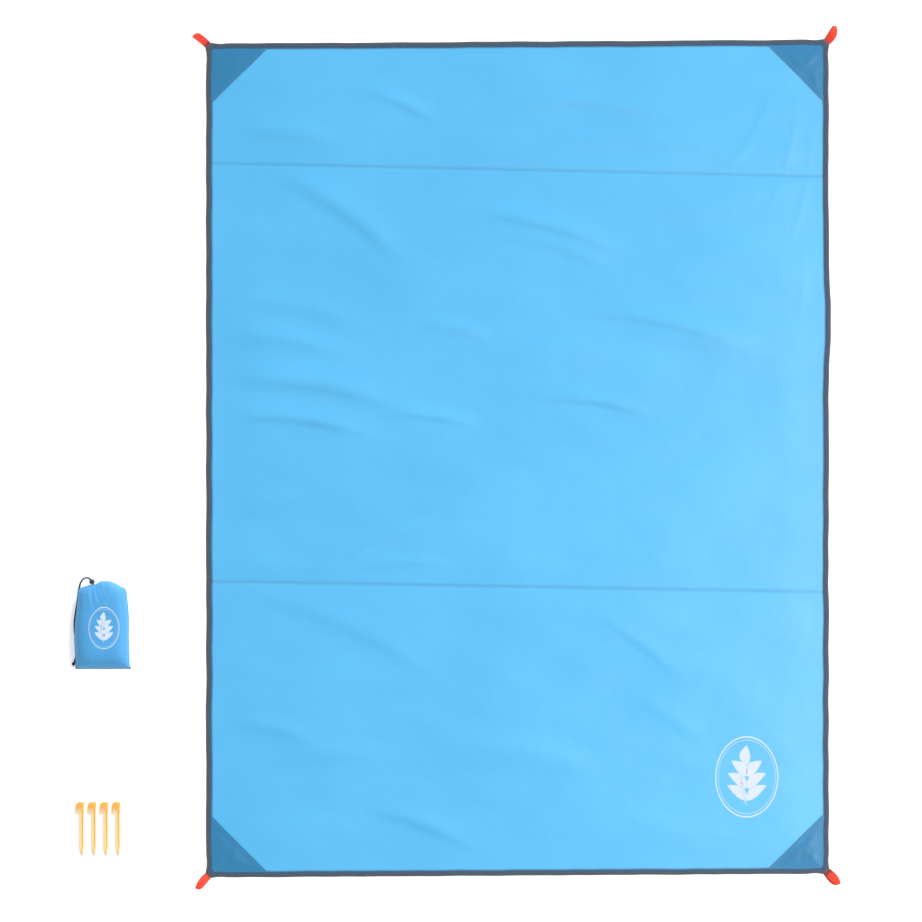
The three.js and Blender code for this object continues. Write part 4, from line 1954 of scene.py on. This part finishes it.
@dataclass
class Drawcord:
    """The pouch's cord, from its mouth through the lock and back along its side.

    Attributes:
        pouch: The pouch that it closes.
        diameter: Thickness of the cord.
    """

    pouch: Pouch
    diameter: float = 4 * MM

    # From the pouch's middle, from its bottom seam, and above the ground, in millimetres.
    KEYS = (
        (-21.2, 207.3, 20), (-23.5, 210.9, 20), (-25.4, 213.9, 20), (-27.6, 217.4, 19.9), (-31.5, 221.6, 19),
        (-37.5, 223.6, 17), (-43.8, 222.4, 14.2), (-49.4, 218.2, 11), (-53.6, 212.4, 7.8), (-56.4, 205.6, 5),
        (-58.2, 198, 3), (-59.6, 189, 2.1), (-61.2, 177, 2), (-63.6, 160, 2), (-66.6, 142, 2),
        (-69.2, 124, 2), (-70.4, 106, 2), (-69.4, 88, 2), (-66.6, 70, 2), (-64.6, 54, 2),
        (-64.6, 40, 2), (-67, 27, 2), (-70.4, 16, 2),
    )

    def line(self) -> Array:
        """The cord's centre line.

        Returns:
            Its points.
        """
        start = np.array([self.pouch.x, self.pouch.bottom, self.pouch.ground])
        points = Route(start + np.array(self.KEYS) * MM).points(10)
        points[:, 2] = np.maximum(points[:, 2], self.pouch.ground + 2.2 * MM)
        return points

    def build(self) -> Piece:
        """Builds the braided cord."""
        return tube("cord_braid", self.line(), self.diameter / 2 * 1.05, 16, 0.07)

    def knot(self) -> Piece:
        """Ties the stopper knot at the far end.

        Returns:
            The knot.
        """
        low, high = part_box("drawcord_knot")
        middle = np.array((low + high) / 2) - np.array([0, 0, 0.6 * MM])
        line = self.line()
        ahead = line[-1] - line[-2]
        ahead[2] = 0
        ahead /= np.linalg.norm(ahead)
        middle = middle - ahead * 1.2 * MM
        side = np.array([-ahead[1], ahead[0], 0])
        t = np.linspace(0.25, 2 * math.pi - 0.25, 90)
        a = (np.sin(t) + 2 * np.sin(2 * t)) * 1.3 * MM
        b = (np.cos(t) - 2 * np.cos(2 * t)) * 0.95 * MM
        c = -np.sin(3 * t) * 1.6 * MM
        loop = middle + ahead * a[:, None] + side * b[:, None] + np.array([0, 0, 1.0]) * c[:, None]
        loop[:, 2] = np.maximum(loop[:, 2], self.pouch.ground + 1.95 * MM)
        return tube("cord_knot", loop, 1.9 * MM, 14, 0.08)


@dataclass
class CordLock:
    """Spring lock on the cord: a ribbed barrel, a push button and the spring.

    Attributes:
        cord: The cord that it holds.
        diameter: Outside of the barrel.
        wall: Wall of the barrel.
        floor: Floor of the barrel.
        height: Height of the barrel.
        below: Barrel's bottom below the cord.
        ribs: How many grip ribs it has.
        press: How far the button presses in.
    """

    cord: Drawcord
    diameter: float = 12 * MM
    wall: float = 1.8 * MM
    floor: float = 1.5 * MM
    height: float = 19 * MM
    below: float = 13 * MM
    ribs: int = 18
    press: float = 3 * MM

    def middle(self) -> Tuple[Array, float]:
        """Where the lock is and where its cord hole points.

        Returns:
            The place on the cord and the heading.
        """
        start = np.array([self.cord.pouch.x, self.cord.pouch.bottom, self.cord.pouch.ground])
        keys = start + np.array(self.cord.KEYS) * MM
        way = keys[3] - keys[1]
        return keys[2], math.atan2(way[1], way[0])

    def barrel(self) -> Piece:
        """Builds the barrel.

        Returns:
            The barrel.
        """
        place, heading = self.middle()
        bottom = place[2] - self.below
        Bench.clear()
        bpy.ops.mesh.primitive_cylinder_add(
            vertices=2 * self.ribs,
            radius=self.diameter / 2 - 0.3 * MM,
            depth=self.height,
            location=(place[0], place[1], bottom + self.height / 2),
        )
        piece = bpy.context.active_object
        piece.name = "lock_barrel"
        Bench.settle(piece)
        bpy.ops.object.mode_set(mode="EDIT")
        for level in (2.2 * MM, 16.2 * MM):
            Bench.bisect(piece, (0, 0, bottom + level), (0, 0, 1))

        def on_rib(face: bmesh.types.BMFace) -> bool:
            """Whether a side face is one of the ribs."""
            middle = face.calc_center_median()
            if abs(face.normal.z) > 0.5 or not bottom + 2.3 * MM < middle.z < bottom + 16.1 * MM:
                return False
            turn = math.atan2(middle.y - place[1], middle.x - place[0]) / (2 * math.pi) * 2 * self.ribs
            return round(turn - 0.5) % 2 == 0

        Bench.pick(piece, on_rib)
        bpy.ops.mesh.inset(thickness=0.22 * MM, depth=0.0, use_individual=True)
        bpy.ops.mesh.extrude_faces_move(TRANSFORM_OT_shrink_fatten={"value": 0.28 * MM})
        Bench.pick(piece, lambda face: face.normal.z > 0.9 and face.calc_center_median().z > bottom + 18 * MM)
        bpy.ops.mesh.inset(thickness=self.wall - 0.3 * MM, depth=0.0)
        depth = self.height - self.floor
        Bench.extrude(0, 0, -depth)
        Bench.clear()
        bpy.ops.mesh.primitive_cylinder_add(
            vertices=32,
            radius=2.5 * MM,
            depth=self.diameter * 2,
            location=tuple(place),
            rotation=(math.pi / 2, 0, heading + math.pi / 2),
        )
        drill = bpy.context.active_object
        Bench.modify(piece, "BOOLEAN", operation="DIFFERENCE", object=drill, solver="EXACT")
        bpy.data.objects.remove(drill)
        Bench.modify(piece, "BEVEL", width=0.28 * MM, segments=2, limit_method="ANGLE")
        Bench.smooth(piece, 35)
        return piece

    def button(self) -> Piece:
        """Builds the push button.

        Returns:
            The button.
        """
        place, heading = self.middle()
        low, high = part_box("cord_lock_button")
        Bench.clear()
        head = high.z - 1.8 * MM
        bpy.ops.mesh.primitive_cylinder_add(
            vertices=40,
            radius=3.9 * MM,
            depth=head - low.z,
            location=(place[0], place[1], (head + low.z) / 2),
        )
        piece = bpy.context.active_object
        piece.name = "lock_button"
        Bench.settle(piece)
        bpy.ops.object.mode_set(mode="EDIT")
        Bench.pick(piece, lambda face: face.normal.z > 0.9)
        centre = (place[0], place[1], head)
        Bench.extrude(0, 0, 0)
        wide = 4.8 / 3.9
        bpy.ops.transform.resize(value=(wide, wide, 1), center_override=centre)
        Bench.extrude(0, 0, 1.2 * MM)
        Bench.extrude(0, 0, 0.35 * MM)
        bpy.ops.transform.resize(value=(0.9, 0.9, 1), center_override=centre)
        bpy.ops.mesh.inset(thickness=0.9 * MM, depth=0.0)
        bpy.ops.transform.translate(value=(0, 0, 0.2 * MM))
        bpy.ops.mesh.inset(thickness=0.5 * MM, depth=0.0)
        bpy.ops.transform.translate(value=(0, 0, -0.3 * MM))
        Bench.clear()
        bpy.ops.mesh.primitive_cube_add(
            size=1.0, location=(place[0], place[1], place[2] + 1.5 * MM), rotation=(0, 0, heading)
        )
        slot = bpy.context.active_object
        slot.scale = (20 * MM, 5 * MM, 7.6 * MM)
        Bench.modify(piece, "BOOLEAN", operation="DIFFERENCE", object=slot, solver="EXACT")
        bpy.data.objects.remove(slot)
        Bench.modify(piece, "BEVEL", width=0.25 * MM, segments=2, limit_method="ANGLE")
        Bench.smooth(piece, 35)
        return piece

    def spring(self) -> Piece:
        """Winds the spring under the button.

        Returns:
            The spring.
        """
        place, _ = self.middle()
        low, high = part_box("cord_lock_spring")
        wire, turns = 0.35 * MM, 4
        radius = (high.x - low.x) / 2 - wire
        t = np.linspace(0, turns * 2 * math.pi, turns * 28)
        rise = low.z + wire + (high.z - low.z - 2 * wire) * t / t[-1]
        line = np.stack([place[0] + radius * np.cos(t), place[1] + radius * np.sin(t), rise], -1)
        piece = tube("lock_spring", line, wire, 8)
        keep = 1 - self.press / (high.z - low.z)
        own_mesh(piece)
        return piece


# --- stakes


@dataclass
class Stake:
    """A moulded stake with a hooked head and a groove between two rails on each face.

    Attributes:
        length: Head to point.
        width: Width of the shaft.
        height: Thickness.
        tip: Length of the point.
        tip_width: Width of the point's end.
        rail: Width of the rails.
        groove: Depth of the grooves.
        gap: Width of the gap under the hook.
        leg: Width of the hook's leg.
        drop: Head to the foot of the hook.
        arm: Head to the roof of the gap.
    """

    length: float = 132 * MM
    width: float = 9.8 * MM
    height: float = 8 * MM
    tip: float = 19 * MM
    tip_width: float = 2.4 * MM
    rail: float = 2.5 * MM
    groove: float = 1.5 * MM
    gap: float = 4.7 * MM
    leg: float = 5.2 * MM
    drop: float = 29.4 * MM
    arm: float = 14.7 * MM

    def build(self) -> Piece:
        """Builds the first stake in the place of its CAD node.

        Returns:
            The stake.
        """
        low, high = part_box("stake_1")
        middle = high.x - self.width / 2
        head = high.y
        level = low.z + self.height / 2
        Bench.clear()
        shaft = self.length - self.tip
        bpy.ops.mesh.primitive_cube_add(size=1.0, location=(middle, head - shaft / 2, level))
        piece = bpy.context.active_object
        piece.name = "peg_1"
        piece.scale = (self.width, shaft, self.height)
        Bench.settle(piece)
        bpy.ops.object.mode_set(mode="EDIT")
        point = (middle, head - self.length, level)
        Bench.pick(piece, lambda face: face.normal.y < -0.9)
        Bench.extrude(0, -self.tip, 0)
        bpy.ops.transform.resize(value=(self.tip_width / self.width, 1, 0.5), center_override=point)
        self.hook(piece, middle, head)
        self.grooves(piece, middle, head)
        bpy.ops.object.mode_set(mode="OBJECT")
        Bench.modify(piece, "BEVEL", width=0.75 * MM, segments=3, limit_method="ANGLE", harden_normals=False)
        Bench.smooth(piece, 40)
        return piece

    def copy(self, first: Piece, number: int) -> Piece:
        """Copies the first stake, with a mesh of its own, to the place of another CAD node.

        Args:
            first: The first stake.
            number: Which stake the copy is.

        Returns:
            The copy.
        """
        piece = first.copy()
        piece.data = first.data.copy()
        piece.name = f"peg_{number}"
        piece.data.transform(Matrix.Translation(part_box(f"stake_{number}")[1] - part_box("stake_1")[1]))
        bpy.context.scene.collection.objects.link(piece)
        return piece

    def hook(self, piece: Piece, middle: float, head: float) -> None:
        """Draws the hook out of the head.

        Args:
            piece: The stake in edit mode.
            middle: The shaft's middle along X.
            head: The top of the head along Y.
        """
        Bench.bisect(piece, (0, head - self.arm, 0), (0, 1, 0))
        side = middle - self.width / 2
        Bench.pick(
            piece,
            lambda face: face.normal.x < -0.9 and face.calc_center_median().y > head - self.arm,
        )
        Bench.extrude(-self.gap, 0, 0)
        Bench.extrude(-self.leg, 0, 0)
        Bench.pick(
            piece,
            lambda face: face.normal.y < -0.9
            and face.calc_center_median().x < side - self.gap
            and face.calc_center_median().y > head - self.drop,
        )
        Bench.extrude(0, self.arm - self.drop, 0)
        bpy.ops.mesh.select_mode(type="VERT")
        bpy.ops.mesh.select_all(action="DESELECT")
        shape = bmesh.from_edit_mesh(piece.data)
        for vertex in shape.verts:
            outer = vertex.co.x < side - self.gap - self.leg + 0.5 * MM
            vertex.select_set(outer and vertex.co.y > head - 1 * MM)
        bmesh.update_edit_mesh(piece.data)
        bpy.ops.transform.translate(value=(0.6 * MM, -4.6 * MM, 0))

    def grooves(self, piece: Piece, middle: float, head: float) -> None:
        """Sinks the groove in both faces of the shaft.

        Args:
            piece: The stake in edit mode.
            middle: The shaft's middle along X.
            head: The top of the head along Y.
        """
        top, end = head - self.arm - 3 * MM, head - self.length + self.tip
        Bench.bisect(piece, (0, top, 0), (0, 1, 0))
        for side in (1, -1):
            def on_face(face: bmesh.types.BMFace, side: int = side) -> bool:
                """Whether a face is the shaft's face on this side."""
                spot = face.calc_center_median()
                return face.normal.z * side > 0.9 and end < spot.y < top and abs(spot.x - middle) < 2 * MM

            Bench.pick(piece, on_face)
            bpy.ops.mesh.inset(thickness=self.rail, depth=0.0)
            Bench.extrude(0, 0, -side * self.groove)


# --- studio


@dataclass
class Studio:
    """Floor, lights and camera.

    Attributes:
        middle: What the camera looks straight down at.
        field_of_view: How much it takes in, side to side.
        distance: How far up it is.
        ground: Height of the floor.
        sky: Strength of the light from all round.
        key: Strength of the slanting light.
    """

    middle: Point = (-0.139, -0.006)
    field_of_view: float = 2.266
    distance: float = 9.0
    ground: float = -0.9 * MM
    sky: float = 0.62
    key: float = 2.9

    def camera(self) -> None:
        """Sets up the camera, straight down and upright."""
        data = bpy.data.cameras.new("camera")
        data.sensor_width = 36.0
        data.lens = 36.0 * self.distance / self.field_of_view
        data.clip_end = 60.0
        camera = bpy.data.objects.new("camera", data)
        camera.location = (*self.middle, self.distance)
        bpy.context.scene.collection.objects.link(camera)
        bpy.context.scene.camera = camera

    def floor(self) -> None:
        """Lays the floor."""
        size = 14.0
        corners = np.array([(-1, -1, 0), (1, -1, 0), (1, 1, 0), (-1, 1, 0)], float) * size
        corners[:, 2] = self.ground
        piece = new_piece("studio_floor", corners, [[0, 1, 2, 3]])
        dress(piece, FloorFinish("floor_white", "", (0.92, 0.92, 0.92)))
        piece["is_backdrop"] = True

    def lamp(self, name: str, place: Place, size: float, power: float) -> None:
        """Hangs a square soft light aimed at the middle.

        Args:
            name: Its name.
            place: Where it hangs.
            size: Its side.
            power: Its power in watts.
        """
        data = bpy.data.lights.new(name, "AREA")
        data.shape = "SQUARE"
        data.size = size
        data.energy = power
        lamp = bpy.data.objects.new(name, data)
        lamp.location = place
        lamp.rotation_mode = "QUATERNION"
        lamp.rotation_quaternion = (Vector((0, 0, 0)) - Vector(place)).to_track_quat("-Z", "Y")
        bpy.context.scene.collection.objects.link(lamp)

    def lights(self) -> None:
        """Sets the even light, the soft lamp and the slanting light."""
        world = bpy.data.worlds.new("studio")
        world.use_nodes = True
        background = next(node for node in world.node_tree.nodes if node.type == "BACKGROUND")
        background.inputs["Color"].default_value = (1.0, 1.0, 1.0, 1.0)
        background.inputs["Strength"].default_value = self.sky
        bpy.context.scene.world = world
        self.lamp("high", (4.2, -0.8, 7.1), 3.0, 302.0)
        self.lamp("side", (3.4, -1.7, 3.8), 2.0, 48.0)
        sun = bpy.data.lights.new("key", "SUN")
        sun.energy = self.key
        sun.angle = math.radians(16)
        key = bpy.data.objects.new("key", sun)
        key.rotation_mode = "QUATERNION"
        key.rotation_quaternion = Vector((-0.42, -0.82, -0.40)).to_track_quat("-Z", "Y")
        bpy.context.scene.collection.objects.link(key)
        scene = bpy.context.scene
        scene.view_settings.view_transform = "Standard"
        scene.view_settings.look = "None"


# --- assembly


@dataclass(frozen=True)
class Finishes:
    """All the finishes of the set."""

    sheet: ClothFinish
    patch: ClothFinish
    pouch: ClothFinish
    tape: TapeFinish
    webbing: WebbingFinish
    stake: PlasticFinish
    lock: PlasticFinish
    cord: CordFinish
    thread: CordFinish
    pale_thread: CordFinish
    ink: PrintFinish
    pouch_ink: PrintFinish
    wire: WireFinish

    @classmethod
    def choose(cls, plan: Plan) -> "Finishes":
        """Chooses the finishes.

        Args:
            plan: The sheet's plan.

        Returns:
            The finishes.
        """
        rim = (plan.half_width - plan.tape, plan.half_length - plan.tape)
        creases = (plan.far_crease[0], plan.near_crease[0])
        seam = plan.half_width + plan.half_length - plan.corner_cut
        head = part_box("stake_1")[1].y
        return cls(
            ClothFinish("sheet_nylon", "sheet_cloth", (0.053, 0.376, 0.680), (0.012, 0.085, 0.180),
                        creases=creases, rim=rim),
            # The patch cloth is painted darker than the sheet: painted shade standing in for the doubled
            # cloth, which lets less light through.
            ClothFinish("patch_nylon", "patch_cloth", (0.015, 0.163, 0.331), (0.006, 0.085, 0.190),
                        gloss=0.45),
            # The pouch's seam setting paints shade along its bottom seam.
            ClothFinish("pouch_nylon", "pouch_cloth", (0.062, 0.305, 0.600), (0.012, 0.080, 0.170),
                        0.55, seam=3.4 * MM, gloss=0.35),
            TapeFinish("tape_grosgrain", "binding_tape", (0.070, 0.076, 0.100), (0.034, 0.056, 0.086),
                       (0.010, 0.062, 0.130)),
            WebbingFinish("loop_weave", "loop_webbing", (0.860, 0.050, 0.022), (0.120, 0.020, 0.020), seam),
            PlasticFinish("stake_moulding", "stake_plastic", (0.900, 0.560, 0.215), (0.730, 0.470, 0.165),
                          (plan.ground + 6.4 * MM, plan.ground + 7.8 * MM), (0.720, 0.370, 0.065),
                          (head - 27 * MM, head - 12 * MM), glow=0.15),
            PlasticFinish("lock_moulding", "lock_plastic", (0.014, 0.020, 0.022), (0.006, 0.009, 0.010)),
            CordFinish("cord_polyester", "cord", (0.015, 0.016, 0.019), (0.005, 0.005, 0.007)),
            CordFinish("seam_thread", "binding_tape", (0.120, 0.150, 0.190), (0.040, 0.050, 0.065),
                       1.0 * MM, 3),
            CordFinish("cloth_thread", "sheet_cloth", (0.110, 0.340, 0.560), (0.050, 0.180, 0.330),
                       1.0 * MM, 3),
            PrintFinish("sheet_ink", "sheet_cloth", (0.500, 0.565, 0.680), (0.260, 0.480, 0.690)),
            PrintFinish("pouch_ink", "pouch_cloth", (0.520, 0.590, 0.710), (0.230, 0.430, 0.650)),
            WireFinish("spring_wire", "spring_steel", (0.62, 0.62, 0.63)),
        )


@dataclass
class BlanketSet:
    """The whole set, built piece by piece.

    Attributes:
        plan: The sheet's plan.
        sheet: The cloth.
        finishes: What everything is dressed in.
    """

    plan: Plan
    sheet: Sheet
    finishes: Finishes

    def cord_and_lock(self, pouch: Pouch) -> None:
        """Builds the cord with its knot and its lock.

        Args:
            pouch: The pouch that the cord closes.
        """
        cord = Drawcord(pouch)
        lock = CordLock(cord)
        braid, knot = cord.build(), cord.knot()
        barrel, button, spring = lock.barrel(), lock.button(), lock.spring()
        for piece, finish, node, body in (
            (spring, self.finishes.wire, "cord_lock_spring", "pouch"),
            (braid, self.finishes.cord, "drawcord", "pouch"),
            (knot, self.finishes.cord, "drawcord_knot", "pouch"),
            (barrel, self.finishes.lock, "cord_lock_barrel", "pouch"),
            (button, self.finishes.lock, "cord_lock_button", "cord_lock_button"),
        ):
            dress(piece, finish)
            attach(piece, body)
            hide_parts(node)
            LOG.info("built %s", piece.name)
        line = cord.line()
        length = float(distances(line)[-1])
        LOG.info("cord is %.1f mm long", length / MM)

    def cloth(self) -> None:
        """Builds the sheet, its binding and its stitches."""
        binding = Binding(self.sheet)
        sewn: Dict[Half, List[Piece]] = {Half.FAR: [], Half.NEAR: []}
        for run in binding.runs():
            tape = binding.build(run)
            thread = StitchRow().along(run.name.replace("tape", "stitches"), [binding.sew_line(run)])
            dress(tape, self.finishes.tape)
            dress(thread, self.finishes.thread)
            binding.attach(run, tape)
            binding.attach(run, thread)
            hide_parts(*run.nodes)
            half = run.half or (Half.FAR if run.body == "top_panel" else Half.NEAR)
            sewn[half] += [tape, thread]
            LOG.info("built %s", run.name)
        halves = {
            Half.FAR: (self.plan.half_length - self.plan.split, ("sheet_top_panel", "sheet_middle_panel")),
            Half.NEAR: (self.plan.half_length + self.plan.split, ("sheet_bottom_panel",)),
        }
        for half, (length, nodes) in halves.items():
            piece = self.sheet.build(half)
            dress(piece, self.finishes.sheet)
            self.sheet.attach(half, piece)
            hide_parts(*nodes)
            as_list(sewn[half])
            LOG.info("built %s", piece.name)

    def corners(self) -> None:
        """Builds the patches and the loops."""
        looks = {
            Corner.TOP_LEFT: dict(width=17.5 * MM, bend=4.5 * MM, roll=-8, slip=1.5 * MM, slant=2.5 * MM,
                                  taper=3 * MM),
            Corner.TOP_RIGHT: dict(width=19 * MM, bend=9.5 * MM, roll=16, slip=-2.5 * MM, squeeze=0.15,
                                   swell=0.08, taper=6 * MM),
            Corner.BOTTOM_LEFT: dict(width=18 * MM, bend=5 * MM, roll=-14, slip=2.5 * MM, squeeze=0.5,
                                     swell=0.08, slant=-3 * MM, taper=1 * MM, reach=45 * MM),
            Corner.BOTTOM_RIGHT: dict(width=20 * MM, bend=-3 * MM, roll=12, slip=5 * MM, squeeze=0.32,
                                      swell=0.1, slant=4 * MM, taper=2 * MM),
        }
        for number, corner in enumerate(Corner):
            patch = CornerPatch(self.sheet, corner, seed=number)
            cloth, thread = patch.build(), patch.stitches()
            dress(cloth, self.finishes.patch)
            dress(thread, self.finishes.pale_thread)
            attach(cloth, corner.panel)
            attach(thread, corner.panel)
            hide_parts(f"corner_patch_{corner.label}")
            side = patch.leg - 2 * self.plan.tape
            side * side / 2
            loop = CornerLoop(self.sheet, corner, **looks[corner])
            webbing, tack = loop.build(), loop.bartack()
            dress(webbing, self.finishes.webbing)
            dress(tack, self.finishes.thread)
            loop.attach(webbing)
            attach(tack, corner.panel)
            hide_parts(f"corner_loop_{corner.label}")
            LOG.info("built the %s corner", corner.label)

    def pouch(self, pouch: Pouch) -> None:
        """Builds the pouch.

        Args:
            pouch: The pouch.
        """
        shell, thread = pouch.build(), pouch.stitches()
        dress(shell, self.finishes.pouch)
        dress(thread, self.finishes.pale_thread)
        mark = PrintedMark(
            "pouch_print",
            76 * MM,
            102 * MM,
            lambda x, y: pouch.front_point(x + 7 * MM, y + 101 * MM, 0.25 * MM),
            shell,
        ).build()
        dress(mark, self.finishes.pouch_ink)
        for piece in (shell, thread, mark):
            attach(piece, "pouch")
        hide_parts("pouch_front_panel", "pouch_back_panel")
        LOG.info("built the pouch")

    def sheet_print(self) -> None:
        """Prints the mark on the sheet."""
        place = (563 * MM, -783 * MM)

        def lay(x: Array, y: Array) -> Array:
            """Puts points of the mark on the sheet."""
            return self.sheet.drape.lay(x + place[0], y + place[1], self.sheet.top + 0.1 * MM)

        mark = PrintedMark("sheet_print", 155 * MM, 202 * MM, lay, self.sheet.pieces[Half.NEAR]).build()
        dress(mark, self.finishes.ink)
        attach(mark, "bottom_panel")
        LOG.info("built the print")

    def stakes(self) -> None:
        """Models one stake and copies it three times."""
        stake = Stake()
        first = stake.build()
        dress(first, self.finishes.stake)
        pieces = [first] + [stake.copy(first, number) for number in range(2, 5)]
        for number, piece in enumerate(pieces, 1):
            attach(piece, f"stake_{number}")
            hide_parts(f"stake_{number}")
            LOG.info("built %s", piece.name)


def write_size() -> None:
    """Works out the frame's box and the visual model's box."""
    boxes = {"cad": CAD_BOUNDS, "visual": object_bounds()}
    plain = {name: [list(corner) for corner in box] for name, box in boxes.items()}


def main() -> None:
    """Builds the studio and the set in order."""
    logging.basicConfig(level=logging.INFO, format="%(name)s: %(message)s")
    plan = Plan.from_cad()
    studio = Studio(ground=plan.ground)
    studio.camera()
    studio.floor()
    studio.lights()
    finishes = Finishes.choose(plan)
    blanket = BlanketSet(plan, Sheet(plan, Drape(plan)), finishes)
    pouch = Pouch.from_cad(plan)
    blanket.cord_and_lock(pouch)
    blanket.cloth()
    blanket.corners()
    blanket.sheet_print()
    blanket.pouch(pouch)
    blanket.stakes()
    write_size()


if __name__ == "__main__":
    main()
